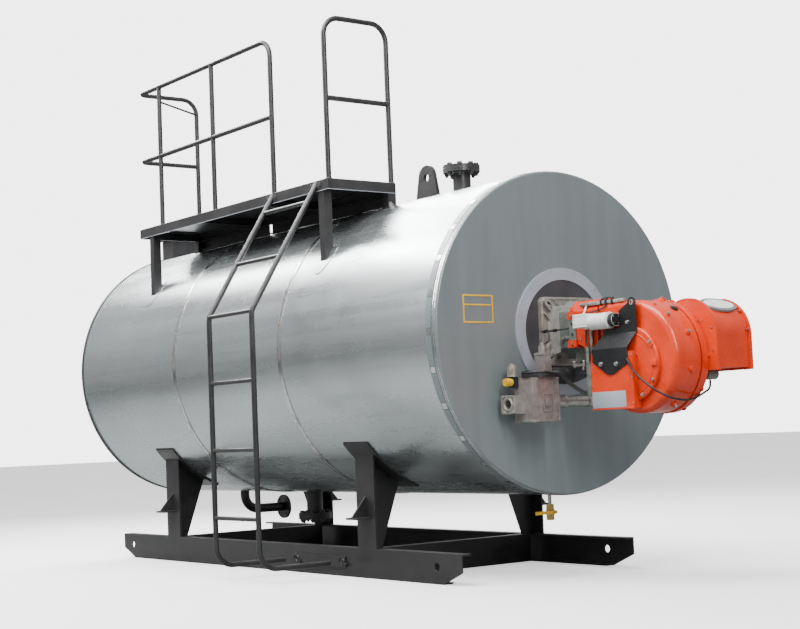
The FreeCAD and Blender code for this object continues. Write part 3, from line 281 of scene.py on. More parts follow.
def block(bm, low, high, bevel=0.0):
    size = [(b - a) for a, b in zip(low, high)]
    middle = [(a + b) / 2 for a, b in zip(low, high)]
    matrix = Matrix.Translation(middle) @ Matrix.Diagonal((*size, 1.0))
    made = bmesh.ops.create_cube(bm, size=1.0, matrix=matrix)
    if bevel:
        edges = list({edge for vert in made["verts"] for edge in vert.link_edges})
        bmesh.ops.bevel(bm, geom=edges, offset=bevel, segments=2, affect="EDGES", profile=0.6)


def facing(direction):
    return Vector(direction).to_track_quat("Z", "Y").to_matrix().to_4x4()


def cylinder(bm, start, end, radius, sides=24, end_radius=None, bevel=0.0, spin=0.0):
    start, end = Vector(start), Vector(end)
    run = end - start
    matrix = Matrix.Translation((start + end) / 2) @ facing(run) @ Matrix.Rotation(spin, 4, "Z")
    made = bmesh.ops.create_cone(bm, cap_ends=True, segments=sides, radius1=radius,
                                 radius2=radius if end_radius is None else end_radius,
                                 depth=run.length, matrix=matrix)
    if bevel:
        rims = [edge for edge in {e for v in made["verts"] for e in v.link_edges}
                if any(len(face.verts) > 4 for face in edge.link_faces)]
        bmesh.ops.bevel(bm, geom=rims, offset=bevel, segments=2, affect="EDGES")


def ring(bm, centre, axis, radius, thick, around=96, sides=10):
    """A closed round bead; thick is its tube's radius, or a pair of them across and along the axis."""
    across, along = thick if isinstance(thick, tuple) else (thick, thick)
    frame_in = Matrix.Translation(Vector(centre)) @ facing(axis)
    loops = []
    for step in range(around):
        turn = 2 * math.pi * step / around
        loop = []
        for side in range(sides):
            a = 2 * math.pi * side / sides
            r = radius + across * math.cos(a)
            spot = Vector((r * math.cos(turn), r * math.sin(turn), along * math.sin(a)))
            loop.append(bm.verts.new(frame_in @ spot))
        loops.append(loop)
    join_loops(bm, loops, True)


def join_loops(bm, loops, closed):
    count = len(loops[0])
    for index in range(len(loops) if closed else len(loops) - 1):
        here, there = loops[index], loops[(index + 1) % len(loops)]
        for side in range(count):
            bm.faces.new((here[side], here[(side + 1) % count], there[(side + 1) % count], there[side]))
    if not closed:
        bm.faces.new(loops[0][::-1])
        bm.faces.new(loops[-1])


def tube(bm, points, radius, sides=10, steps=8):
    """A lead or thin bar through the points, its corners rounded by a smooth curve."""
    points = [Vector(point) for point in points]
    path = []
    for i in range(len(points) - 1):
        p0, p1, p2, p3 = points[max(i - 1, 0)], points[i], points[i + 1], points[min(i + 2, len(points) - 1)]
        for step in range(steps):
            t = step / steps
            path.append(0.5 * (2 * p1 + (p2 - p0) * t + (2 * p0 - 5 * p1 + 4 * p2 - p3) * t ** 2
                               + (3 * p1 - p0 - 3 * p2 + p3) * t ** 3))
    path.append(points[-1])
    loops = []
    across = None
    for i, here in enumerate(path):
        along = (path[min(i + 1, len(path) - 1)] - path[max(i - 1, 0)]).normalized()
        across = along.orthogonal() if across is None else across - along * across.dot(along)
        across.normalize()
        other = along.cross(across)
        loops.append([bm.verts.new(here + (across * math.cos(a) + other * math.sin(a)) * radius)
                      for a in (2 * math.pi * k / sides for k in range(sides))])
    join_loops(bm, loops, False)


def prism(bm, outline, along, bevel=0.0):
    """A flat outline of points pushed along a vector."""
    low = [bm.verts.new(Vector(point)) for point in outline]
    high = [bm.verts.new(Vector(point) + Vector(along)) for point in outline]
    bm.faces.new(low[::-1])
    bm.faces.new(high)
    for i in range(len(low)):
        j = (i + 1) % len(low)
        bm.faces.new((low[i], low[j], high[j], high[i]))
    if bevel:
        edges = list({edge for vert in low + high for edge in vert.link_edges})
        bmesh.ops.bevel(bm, geom=edges, offset=bevel, segments=2, affect="EDGES")


def curved_plate(bm, x_low, x_high, start, end, low_radius, high_radius, steps=8):
    """A plate bent round the boiler's axis, its angles in degrees from +Y towards +Z."""
    corners = ((x_low, low_radius), (x_high, low_radius), (x_high, high_radius), (x_low, high_radius))
    loops = []
    for step in range(steps + 1):
        turn = math.radians(start + (end - start) * step / steps)
        loops.append([bm.verts.new((x, r * math.cos(turn), AXIS_Z + r * math.sin(turn))) for x, r in corners])
    join_loops(bm, loops, False)


def hex_bolt(bm, spot, direction, size, washer=True, length=0.0):
    """A hexagon head with its washer; size is the thread's radius in metres."""
    spot, direction = Vector(spot), Vector(direction).normalized()
    lift = 0.0
    if washer:
        lift = size * 0.35
        cylinder(bm, spot, spot + direction * lift, size * 2.05, 24, bevel=size * 0.12)
    seat = spot + direction * lift
    top = lift + size * 1.3
    spin = 0.3 + spot.length * 7        # each head is left at its own angle
    cylinder(bm, seat, spot + direction * top, size * 1.75, 6, bevel=size * 0.18, spin=spin)
    if length:
        cylinder(bm, seat, spot + direction * (top + length), size, 16, bevel=size * 0.15)


def socket_screw(bm, spot, direction, radius):
    """A low pan head with a small hexagon raised on it."""
    spot, direction = Vector(spot), Vector(direction).normalized()
    cylinder(bm, spot, spot + direction * radius * 0.6, radius, 20, bevel=radius * 0.2)
    cylinder(bm, spot + direction * radius * 0.6, spot + direction * radius * 0.75, radius * 0.55, 6)


def piece(name, slot_name, build):
    """A detail piece that rides the boiler, smooth but for its sharper edges."""
    sharp = math.radians(35.0)
    bm = bmesh.new()
    build(bm)
    bmesh.ops.recalc_face_normals(bm, faces=bm.faces)
    for face in bm.faces:
        face.smooth = True
    for edge in bm.edges:
        if len(edge.link_faces) == 2 and edge.calc_face_angle(0.0) > sharp:
            edge.smooth = False
    mesh = bpy.data.meshes.new(name)
    bm.to_mesh(mesh)
    bm.free()
    obj = bpy.data.objects.new(name, mesh)
    bpy.context.collection.objects.link(obj)
    mesh.materials.append(MATS[slot_name])
    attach(obj, "boiler")


# ---- flanges, bolts and welds -------------------------------------------------------------
def bolt_circle(centre, axis, radius, count, offset=0.5):
    """Spots round an axis, the first one half a pitch round."""
    frame_in = Matrix.Translation(Vector(centre)) @ facing(axis)
    for step in range(count):
        turn = 2 * math.pi * (step + offset) / count
        yield frame_in @ Vector((radius * math.cos(turn), radius * math.sin(turn), 0))


def flange_bolts(bm):
    bolt, circle, rim = 0.0095, 0.095, 0.1175
    pack = Vector((0, 0, 0.044))        # both flanges and the gasket between them
    steam = Vector((STEAM_X, 0, 2.556))
    blowdown = Vector((BLOWDOWN_X, 0, 0.330))
    for centre, joint in ((steam, 0.020), (blowdown, 0.024)):
        for spot in bolt_circle(centre, (0, 0, 1), circle, 8, 0.0):
            hex_bolt(bm, spot, (0, 0, 1), bolt)
            hex_bolt(bm, spot - pack, (0, 0, -1), bolt, length=0.010)
        ring(bm, centre - Vector((0, 0, joint)), (0, 0, 1), rim, 0.0012)


def weld(bm, centre, axis, radius, thick=0.005, around=120):
    """A rippled weld bead round a pipe."""
    frame_in = Matrix.Translation(Vector(centre)) @ facing(axis)
    loops = []
    for step in range(around):
        turn = 2 * math.pi * step / around
        swell = thick * (1 + 0.16 * math.sin(step * 2.1) + 0.08 * math.sin(step * 0.7))
        loops.append([bm.verts.new(frame_in @ Vector(((radius + swell * math.cos(a)) * math.cos(turn),
                                                      (radius + swell * math.cos(a)) * math.sin(turn),
                                                      swell * math.sin(a))))
                      for a in (2 * math.pi * side / 6 for side in range(6))])
    join_loops(bm, loops, True)


def structure_welds(bm):
    pipe, rail, rung = 0.058, 0.0175, 0.0135
    for x, base in ((STEAM_X, 2.380), (BLOWDOWN_X, 0.480)):
        weld(bm, (x, 0, base), (0, 0, 1), pipe, 0.006)
    weld(bm, (STEAM_X, 0, 2.511), (0, 0, 1), pipe, 0.004)
    weld(bm, (BLOWDOWN_X, 0, 0.331), (0, 0, 1), pipe, 0.004)
    for x in STILES_X:
        for z in (0.391, 0.813, 1.235, 1.657):
            weld(bm, (x, -1.292, z), (1, 0, 0), rung, 0.003, 36)
    for y in (-0.770, -0.286):
        weld(bm, (FRONT_X - 1.255, y, 2.486), (0, 0, 1), rail, 0.004, 48)
    for x in STILES_X:
        weld(bm, (x, -0.693, 0.090), (0, 1, 0), rail, 0.004, 48)


# ---- front cover --------------------------------------------------------------------------
CLASPS = 28
CLASP_PITCH = 360 / CLASPS      # degrees


def cover_clips(bm):
    """The silver band on the cover's rim: short curved plates between bright clasps."""
    top = SHELL_R + 0.0032
    for step in range(CLASPS):
        start = step * CLASP_PITCH
        end = start + CLASP_PITCH
        curved_plate(bm, 1.032, 1.078, start + 1.3, end - 1.3, SHELL_R, top, 8)
        curved_plate(bm, 1.027, 1.034, start + 2.6, end - 2.6, SHELL_R, top, 8)


def cover_clasps(bm):
    for step in range(CLASPS):
        middle = step * CLASP_PITCH
        curved_plate(bm, 1.036, 1.074, middle - 1.05, middle + 1.05, SHELL_R, SHELL_R + 0.0038, 4)
    for x, radius in ((1.086, SHELL_R + 0.0005), (1.103, SHELL_R)):
        ring(bm, (x, 0, AXIS_Z), (1, 0, 0), radius, (0.0022, 0.0030), 180, 8)


def cover_plate(bm):
    """A bare two-cell plate outlined in yellow: nothing is written in it."""
    y_low, y_high, z_low, z_split, z_high = -0.749, -0.539, 1.480, 1.578, 1.631
    x, half, soft = FRONT_X, 0.0045, 0.0006
    for z in (z_low, z_split, z_high):
        block(bm, (x - 0.001, y_low, z - half), (x + 0.0022, y_high, z + half), soft)
    for y in (y_low, y_high):
        block(bm, (x - 0.001, y - half, z_low - half), (x + 0.0024, y + half, z_high + half), soft)


def ring_screws(bm):
    for spot in bolt_circle((FRONT_X + 0.010, 0, AXIS_Z), (1, 0, 0), 0.358, 12):
        socket_screw(bm, spot, (1, 0, 0), 0.005)


def shell_screw(bm, x, angle, lift, radius):
    """A screw head on the shell, its angle in degrees from +Y towards +Z."""
    turn = math.radians(angle)
    outward = Vector((0, math.cos(turn), math.sin(turn)))
    socket_screw(bm, Vector((x, 0, AXIS_Z)) + outward * (SHELL_R + lift), outward, radius)


def seam_clasps(bm):
    """Beads and clasps on the seam bands, and the row of screws behind the front cover."""
    for setback in (1.625, 3.020):
        x = FRONT_X - setback
        for side in (-0.0165, 0.0165):
            ring(bm, (x + side, 0, AXIS_Z), (1, 0, 0), SHELL_R + 0.0035, (0.0016, 0.0024), 180, 8)
        for angle in (38, 118, 206, 334):
            curved_plate(bm, x - 0.017, x + 0.017, angle, angle + 3.2, SHELL_R + 0.0025, SHELL_R + 0.0070, 4)
            for shift in (0.7, 2.5):
                shell_screw(bm, x, angle + shift, 0.0065, 0.005)
    for step in range(72):
        shell_screw(bm, 1.006, 5 * step + 2, -0.0005, 0.0032)


# ---- burner -------------------------------------------------------------------------------
def frame_prism(bm, outer, inner, along):
    """A flat ring between two outlines with as many points each, pushed along a vector."""
    outer_low, outer_high, inner_low, inner_high = [
        [bm.verts.new(Vector(point) + shift) for point in line]
        for line in (outer, inner) for shift in (Vector(), Vector(along))]
    count = len(outer)
    for i in range(count):
        j = (i + 1) % count
        bm.faces.new((outer_low[i], outer_low[j], outer_high[j], outer_high[i]))
        bm.faces.new((inner_low[j], inner_low[i], inner_high[i], inner_high[j]))
        bm.faces.new((outer_high[i], outer_high[j], inner_high[j], inner_high[i]))
        bm.faces.new((outer_low[j], outer_low[i], inner_low[i], inner_low[j]))


def capsule(reach, middle, half_length, half_width, turn, corner=8):
    """A slot outline in the plane across the boiler, its long side turned by an angle."""
    points = []
    for sign, base in ((1, -90), (-1, 90)):
        for step in range(corner + 1):
            a = math.radians(base + 180 * step / corner)
            u = sign * (half_length - half_width) + half_width * math.cos(a)
            v = half_width * math.sin(a)
            points.append(at(reach, middle[0] + u * math.cos(turn) - v * math.sin(turn),
                             middle[1] + u * math.sin(turn) + v * math.cos(turn)))
    return points


def ears():
    """The four corner ears of the mounting flange: each one's middle across the boiler, and its turn."""
    for corner in range(4):
        turn = math.radians(45 + 90 * corner)
        yield (215 * math.cos(turn), 215 * math.sin(turn)), turn


def flange_castings(bm):
    """Raised rim, slotted corner ears and ribs on the burner's mounting flange."""
    for low, high in (((30, -196, 186), (37, 196, 196)), ((30, -196, -196), (37, 196, -186)),
                      ((30, -196, -190), (37, -186, 190)), ((30, 186, -190), (37, 196, 190))):
        block(bm, at(*low), at(*high), 0.002)
    for middle, turn in ears():
        frame_prism(bm, capsule(30, middle, 48, 23, turn), capsule(30, middle, 24, 8, turn), (0.026, 0, 0))
        sy, sz = math.copysign(1, middle[0]), math.copysign(1, middle[1])
        for a, b in (((188, 108), (128, 52)), ((108, 188), (52, 128))):
            run = Vector((0, (b[0] - a[0]) * sy, (b[1] - a[1]) * sz))
            across = Vector((1, 0, 0)).cross(run).normalized() * 0.0045
            start = at(30, a[0] * sy, a[1] * sz)
            end = at(30, b[0] * sy, b[1] * sz)
            prism(bm, [start - across, start + across, end + across, end - across], (0.016, 0, 0), 0.0012)
    for y in (-148, 148):
        block(bm, at(30, y - 8, -52), at(44, y + 8, 52), 0.003)


def ear_slot_shade(bm):
    """Black fills in the corner ears' slots: painted shade in the slots' depths."""
    for middle, turn in ears():
        prism(bm, capsule(31, middle, 23.5, 7.5, turn), (0.016, 0, 0))


def flange_fixings(bm):
    for _, turn in ears():
        hex_bolt(bm, at(47, 204 * math.cos(turn), 204 * math.sin(turn)), (1, 0, 0), 0.0042, length=0.008)


def hinge_details(bm):
    for height in (25, -35):
        ring(bm, at(239, -157.2, height), (0, 1, 0), 0.0115, 0.0022, 32, 8)
    for height in (44, -10, -61):
        socket_screw(bm, at(222, -157, height), (0, -1, 0), 0.0045)
    block(bm, at(206, -132, -92), at(226, -104, 92), 0.002)


# painted shade: black discs filling the hinge's holes
def hinge_hole_shade(bm):
    for height in (25, -35):
        cylinder(bm, at(239, -156.5, height), at(239, -158.2, height), 0.0095, 24)


def body_trim(bm):
    """Cast lips and lug bosses on the orange body."""
    block(bm, at(207, -88, 149), at(226, 88, 156), 0.003)
    block(bm, at(428, -90, 150), at(440, 60, 156), 0.003)
    for height in (72, -89):
        cylinder(bm, at(240, -166, height), at(240, -150, height), 0.013, 24, bevel=0.002)
    cylinder(bm, at(240, -157, 96), at(240, -157, 118), 0.009, 16, bevel=0.001)
    tube(bm, [at(440, -152, 60), at(440, -152, -40), at(440, -152, -110)], 0.004)


def body_screws(bm):
    for reach, y, height in ((300, -150.3, 72), (300, -150.3, -70), (420, -150.3, 80)):
        socket_screw(bm, at(reach, y, height), (0, -1, 0), 0.006)
    for reach in (250, 320, 390):
        socket_screw(bm, at(reach, -60, 153), (0, 0, 1), 0.006)
    for height in (72, -89):
        socket_screw(bm, at(240, -166, height), (0, -1, 0), 0.007)


FAN = (700, -230)                                   # the fan's axis
FAN_BOTTOM, FAN_FRONT, FAN_TOP = 268, 324, 350      # the spiral's radii
LID_Y = -172
LID_BOLT_CIRCLE = 188


def fan_spot(angle, radius):
    turn = math.radians(angle)
    return FAN[0] + radius * math.cos(turn), FAN[1] + radius * math.sin(turn)


def circle_through(first, second, third):
    """The centre and the radius of the circle through three spots."""
    (ax, az), (bx, bz), (cx, cz) = first, second, third
    twice = 2 * (ax * (bz - cz) + bx * (cz - az) + cx * (az - bz))
    a2, b2, c2 = ax * ax + az * az, bx * bx + bz * bz, cx * cx + cz * cz
    x = (a2 * (bz - cz) + b2 * (cz - az) + c2 * (az - bz)) / twice
    z = (a2 * (cx - bx) + b2 * (ax - cx) + c2 * (bx - ax)) / twice
    return (x, z), math.hypot(ax - x, az - z)


UPPER_RIM = circle_through(
    fan_spot(0, FAN_FRONT), fan_spot(45, (FAN_FRONT + FAN_TOP) / 2), fan_spot(90, FAN_TOP))
LOWER_RIM = circle_through(
    fan_spot(-90, FAN_BOTTOM), fan_spot(-45, (FAN_BOTTOM + FAN_FRONT) / 2), fan_spot(0, FAN_FRONT))


def rim_point(angle, y, lift=0.0):
    """A spot on the fan casing's spiral rim and the direction straight out from it."""
    turn = math.radians(angle)
    (cx, cz), radius = UPPER_RIM if angle >= 0 else LOWER_RIM
    dx, dz = FAN[0] - cx, FAN[1] - cz
    half = dx * math.cos(turn) + dz * math.sin(turn)
    reach = -half + math.sqrt(half * half - dx * dx - dz * dz + radius * radius) + lift
    x, height = fan_spot(angle, reach)
    return at(x, y, height), Vector((math.cos(turn), 0, math.sin(turn)))


def scroll_bosses(bm):
    """Cast bosses round the fan casing, and the lips along its rims."""
    sunk = 4
    for angle, y, radius, high in ((80, 36, 17, 17), (48, -100, 12, 9), (27, -30, 15, 15),
                                   (-8, -40, 15, 12), (-51, -39, 17, 14), (66, -108, 11, 8)):
        spot, out = rim_point(angle, y, -sunk)
        top = radius / 1000
        cylinder(bm, spot, spot + out * (high + sunk) / 1000, top * 1.25, 28, top, bevel=0.003)
    for y, lift in ((30, 0), (44, 4)):
        loops = []
        for step in range(64):
            spot, out = rim_point(-88 + 178 * step / 63, y, lift)
            side = Vector((0, 1, 0))
            loops.append([bm.verts.new(spot + (out * math.cos(a) + side * math.sin(a)) * 0.0028)
                          for a in (2 * math.pi * k / 8 for k in range(8))])
        join_loops(bm, loops, False)
    for angle in (75, 40, 5, -30, -62):
        spot, out = rim_point(angle, 82, 0)
        spot -= out * 0.004
        cylinder(bm, spot - Vector((0, 0.004, 0)), spot + Vector((0, 0.014, 0)), 0.015, 24, bevel=0.002)


def scroll_screws(bm):
    for angle, y, high in ((27, -30, 15), (48, -100, 9), (-51, -39, 14), (80, 36, 17)):
        spot, out = rim_point(angle, y, high)
        hex_bolt(bm, spot, out, 0.0052)
    for reach, height in ((877, -100), (880, -330), (518, -316), (637, -427), (790, -417)):
        dx, dz = reach - FAN[0], height - FAN[1]
        scale = LID_BOLT_CIRCLE / math.hypot(dx, dz)
        hex_bolt(bm, at(FAN[0] + dx * scale, LID_Y, FAN[1] + dz * scale), (0, -1, 0), 0.0055)
    for reach, height in ((1058, -56), (991, -12), (820, 92), (1060, -180)):
        socket_screw(bm, at(min(reach, 1079), 91.5, height), (0, -1, 0), 0.006)


def scroll_plug(bm):
    spot, out = rim_point(58, 0, -1)
    cylinder(bm, spot, spot + out * 0.007, 0.024, 32, bevel=0.002)
    cylinder(bm, spot + out * 0.007, spot + out * 0.010, 0.013, 6, bevel=0.001)


def lid_details(bm):
    """A raised step, an inner bead, a latch housing and screw pads on the fan's lid."""
    centre = at(FAN[0], LID_Y, FAN[1])
    ring(bm, centre, (0, 1, 0), 0.168, (0.005, 0.003), 128, 10)
    ring(bm, centre, (0, 1, 0), 0.075, (0.004, 0.003), 96, 10)
    block(bm, at(862, -184, -248), at(904, -170, -216), 0.004)
    for turn in range(30, 390, 60):
        a = math.radians(turn)
        spot = centre + Vector((math.cos(a), 0, math.sin(a))) * LID_BOLT_CIRCLE / 1000
        cylinder(bm, spot + Vector((0, 0.002, 0)), spot - Vector((0, 0.004, 0)), 0.014, 28, bevel=0.0015)


INTAKE = (880, -95)             # the drum's axis
INTAKE_RADIUS = 199
INTAKE_BOLT_CIRCLE = 205


def intake_spot(angle, radius, y):
    """A spot on the air intake's drum and the direction straight out from it."""
    turn = math.radians(angle)
    out = Vector((math.cos(turn), 0, math.sin(turn)))
    return at(INTAKE[0] + radius * out.x, y, INTAKE[1] + radius * out.z), out


def intake_details(bm):
    """Rolled lips and screw bosses on the air intake's drum."""
    for y in (118, 346):
        loops = []
        for step in range(41):
            spot, out = intake_spot(180 * step / 40, INTAKE_RADIUS + 0.5, y)
            loops.append([bm.verts.new(spot + (out * math.cos(a) + Vector((0, 1, 0)) * math.sin(a)) * 0.0035)
                          for a in (2 * math.pi * k / 8 for k in range(8))])
        join_loops(bm, loops, False)
    for angle in (8, 40, 75, 110):
        spot, out = intake_spot(angle, INTAKE_BOLT_CIRCLE, 350)
        cylinder(bm, spot + Vector((0, 0.003, 0)), spot - Vector((0, 0.010, 0)), 0.010, 20, bevel=0.0015)


def intake_screws(bm):
    for angle in (8, 40, 75, 110, 150):
        socket_screw(bm, intake_spot(angle, INTAKE_BOLT_CIRCLE, 340)[0], (0, -1, 0), 0.0055)


def badge(bm, lift, half_long, half_short, thick, sides=64):
    """A bare oval plate against the drum, its long side along the drum's axis."""
    centre, out = intake_spot(57, INTAKE_RADIUS + lift, 232)
    across = Vector((-out.z, 0, out.x))
    outline = [centre + Vector((0, half_long * math.cos(a), 0)) + across * half_short * math.sin(a)
               for a in (2 * math.pi * k / sides for k in range(sides))]
    prism(bm, outline, out * thick)


def badge_rim(bm):
    badge(bm, -6, 0.130, 0.068, 0.012)


def badge_face(bm):
    badge(bm, 5, 0.110, 0.050, 0.003)


def damper_details(bm):
    for y in (118, 194):
        ring(bm, at(970, y, -302), (0, 1, 0), 0.0285, 0.0022, 48, 8)
    cylinder(bm, at(970, 142, -330.5), at(970, 142, -333.5), 0.0095, 20, bevel=0.001)


SERVO = (-197, 18)              # the servo motor's axis


def servo_details(bm):
    """Seams, ribs and end lines of the servo motor's housing."""
    for reach, thick in ((447, (0.0014, 0.0022)), (590, (0.0012, 0.0018))):
        ring(bm, at(reach, *SERVO), (1, 0, 0), 0.0448, thick, 64, 8)
    for height in (-7, 58):
        block(bm, at(341, -243.6, height), at(441, -241.5, height + 4), 0.0005)
    block(bm, at(347, -243.4, 4), at(435, -241.5, 51), 0.0012)
    cylinder(bm, at(424, -222, -9), at(424, -222, -21), 0.0095, 6, bevel=0.001)


def servo_screws(bm):
    for reach in (350, 432):
        for height in (10, 46):
            socket_screw(bm, at(reach, -243.3, height), (0, -1, 0), 0.0035)
    for turn in range(0, 360, 90):
        a = math.radians(turn + 45)
        spot = at(634.5, SERVO[0] + 26 * math.cos(a), SERVO[1] + 26 * math.sin(a))
        socket_screw(bm, spot, (1, 0, 0), 0.004)


def servo_cap_ribs(bm):
    cylinder(bm, at(600, *SERVO), at(635.5, *SERVO), 0.0364, 48, bevel=0.002)
    for turn in range(0, 360, 20):
        a = math.radians(turn)
        y, height = SERVO[0] + 36 * math.cos(a), SERVO[1] + 36 * math.sin(a)
        tube(bm, [at(596, y, height), at(614, y, height), at(632, y, height)], 0.0017, 6, 2)


def bracket_bolts(bm):
    for reach, height in ((513, -221), (632, -225)):
        hex_bolt(bm, at(reach, -210, height), (0, -1, 0), 0.0065)
    ring(bm, at(737, -178.4, 103), (0, 1, 0), 0.0125, 0.0022, 40, 8)
    hex_bolt(bm, at(700, -178, -2), (0, -1, 0), 0.0055)


def burner_leads(bm):
    """Leads that lie along the burner from the servo motor to the gas box."""
    tube(bm, [at(424, -222, -18), at(419, -220, -42), at(413, -217, -72), at(416, -214, -100),
              at(426, -211, -122), at(428, -210, -150), at(426, -210, -200)], 0.0050)
    tube(bm, [at(410, -160, 40), at(392, -168, 70), at(420, -172, 78), at(470, -165, 84),
              at(520, -150, 108)], 0.0040)


def edge_strip(bm):
    """The lighter strip down the gas box's back edge, with its clips."""
    block(bm, at(404, -209, -386), at(424, -205, -120), 0.001)
    for height in (-140, -205, -270, -335):
        block(bm, at(400, -213, height - 5), at(428, -205, height + 5), 0.0012)


def linkage(bm):
    cylinder(bm, at(398, -163, -12), at(398, -163, -98), 0.0095, 24, bevel=0.001)
    cylinder(bm, at(398, -163, -98), at(398, -163, -112), 0.006, 16)
    ring(bm, at(398, -163, -60), (0, 0, 1), 0.0098, 0.0016, 32, 8)
    cylinder(bm, at(398, -163, -108), at(398, -148, -108), 0.006, 16)
    tube(bm, [at(352, -142, 120), at(352, -154, 98), at(354, -166, 78), at(356, -176, 64)], 0.0055)
    cylinder(bm, at(352, -142, 112), at(352, -142, 138), 0.010, 6, bevel=0.001)


def bar_clamps(bm):
    for reach in (470, 508, 556):
        block(bm, at(reach - 8, -149, 112), at(reach + 8, -123, 142), 0.003)
        cylinder(bm, at(reach, -136, 140), at(reach, -136, 150), 0.0055, 6, bevel=0.0008)
    tube(bm, [at(470, -136, 143), at(496, -133, 150), at(530, -128, 149), at(556, -136, 143)], 0.0035)


def gas_box_plate(bm):
    """A bare grey plate on the gas box, and the light lip under it."""
    block(bm, at(429, -206.5, -461), at(689, -204.5, -372), 0.0006)


def gas_box_lip(bm):
    block(bm, at(428, -208, -470), at(748, -150, -464), 0.0012)


def gas_box_screws(bm):
    for reach in (436, 682):
        for height in (-452, -381):
            socket_screw(bm, at(reach, -206.3, height), (0, -1, 0), 0.0035)
    for reach, height in ((742, -180), (742, -300), (742, -440)):
        socket_screw(bm, at(reach, -205, height), (0, -1, 0), 0.005)


def valve_details(bm):
    """Embossed panel, ribs and bosses of the gas valve's die casting."""
    for low, high in (((249, -413, -371), (257, -340, -363)), ((249, -413, -466), (257, -340, -458)),
                      ((249, -413, -460), (256, -406, -368)), ((249, -347, -460), (256, -340, -368)),
                      ((249, -396, -438), (257, -357, -392))):
        block(bm, at(*low), at(*high), 0.0012)
    block(bm, at(249, -466, -512), at(255, -452, -280), 0.002)
    block(bm, at(249, -304, -512), at(255, -291, -280), 0.002)
    for reach in (84, 232):
        block(bm, at(reach - 9, -474, -510), at(reach + 9, -468, -300), 0.002)
    block(bm, at(62, -476, -522), at(256, -284, -508), 0.003)
    for reach, y in ((84, -455), (236, -455), (84, -302), (236, -302)):
        cylinder(bm, at(reach, y, -528), at(reach, y, -516), 0.013, 24, bevel=0.002)
    cylinder(bm, at(182, -340, -94), at(182, -340, -78), 0.015, 24, bevel=0.002)
    block(bm, at(139, -367.5, -150), at(226, -312.5, -138), 0.0015)
    block(bm, at(222, -352, -245), at(228, -328, -160), 0.0015)


def valve_screws(bm):
    for y, height in ((-450, -505), (-450, -290), (-300, -505), (-300, -290)):
        socket_screw(bm, at(254, y, height), (1, 0, 0), 0.0052)
    for spot in bolt_circle(at(185, -383, -253), (0, 0, 1), 0.0885, 10):
        socket_screw(bm, spot, (0, 0, 1), 0.0032)
    for reach in (150, 216):
        for y in (-356, -324):
            socket_screw(bm, at(reach, y, -134), (0, 0, 1), 0.0042)


INLET_CORNERS = ((62, -377), (62, -463), (148, -377), (148, -463))


def inlet_flange(bm):
    """The inlet's square flange with its corner screws and pipe socket."""
    for low, high in (((47, -548, -376), (163, -534, -368)), ((47, -548, -472), (163, -534, -464)),
                      ((47, -548, -472), (57, -534, -368)), ((153, -548, -472), (163, -534, -368))):
        block(bm, at(*low), at(*high), 0.002)
    for reach, height in INLET_CORNERS:
        cylinder(bm, at(reach, -551, height), at(reach, -500, height), 0.0095, 20, bevel=0.0015)
    ring(bm, at(105, -545, -420), (0, 1, 0), 0.032, (0.0055, 0.005), 56, 10)


def inlet_screws(bm):
    for reach, height in INLET_CORNERS:
        socket_screw(bm, at(reach, -550.5, height), (0, -1, 0), 0.0062)


def silver_fittings(bm):
    """Elbows and nuts between the pressure switch and the body's underside."""
    for reach in (215, 292):
        cylinder(bm, at(reach, -125, -222), at(reach, -125, -188), 0.011, 24, bevel=0.0015)
        cylinder(bm, at(reach, -125, -212), at(reach, -125, -200), 0.016, 6, bevel=0.0015)
        ring(bm, at(reach, -125, -190), (0, 0, 1), 0.012, 0.003, 32, 8)
    tube(bm, [at(215, -125, -206), at(240, -128, -214), at(268, -128, -214), at(292, -125, -206)], 0.0065)
    cylinder(bm, at(292, -132, -240), at(292, -132, -222), 0.009, 6, bevel=0.001)


def sensing_line(bm):
    tube(bm, [at(-1, -192, -2), at(40, -196, -4), at(96, -186, -4), at(150, -160, 0),
              at(196, -132, 4)], 0.0055)
    tube(bm, [at(70, -190, -3), at(96, -206, -40), at(132, -245, -66), at(160, -300, -82),
              at(180, -336, -84)], 0.0050)
    for reach, y, height in ((58, -195, -3), (118, -178, -3)):
        cylinder(bm, at(reach - 12, y, height), at(reach + 12, y, height), 0.010, 16, bevel=0.0015)


def neck_fittings(bm):
    for y, height in ((-126, 74), (-126, -82)):
        for reach in (116, 188):
            socket_screw(bm, at(reach, y + 1, height), (0, -1, 0), 0.006)
    for reach, height in ((128, -55), (152, -47), (176, -52), (196, -66)):
        cylinder(bm, at(reach, -124, height), at(reach, -143, height), 0.0085, 6, bevel=0.001)
        cylinder(bm, at(reach, -124, height), at(reach, -131, height), 0.012, 20, bevel=0.001)


def switch_details(bm):
    for y in (-282, -214, -150):
        ring(bm, at(145, y, -264), (0, 1, 0), 0.0468, (0.0022, 0.004), 64, 8)
    block(bm, at(176, -262, -284), at(197, -206, -244), 0.004)


def disc_ribs(bm):
    ring(bm, at(185, -383, -262), (0, 0, 1), 0.0935, (0.0016, 0.0028), 96, 8)
    tube(bm, [at(120, -428, -248), at(96, -412, -236), at(88, -380, -232), at(104, -352, -236),
              at(136, -346, -244)], 0.0055)
    block(bm, at(104, -438, -254), at(150, -400, -236), 0.004)
    block(bm, at(238, -420, -254), at(262, -380, -240), 0.003)


def plug_lines(bm):
    block(bm, at(72, -501.5, -318), at(106, -499.5, -271), 0.001)


def cap_grip(bm):
    for turn in range(0, 360, 24):
        a = math.radians(turn)
        reach, height = 89 + 21 * math.cos(a), -294.5 + 21 * math.sin(a)
        tube(bm, [at(reach, -505, height), at(reach, -524, height), at(reach, -543, height)], 0.0014, 6, 2)


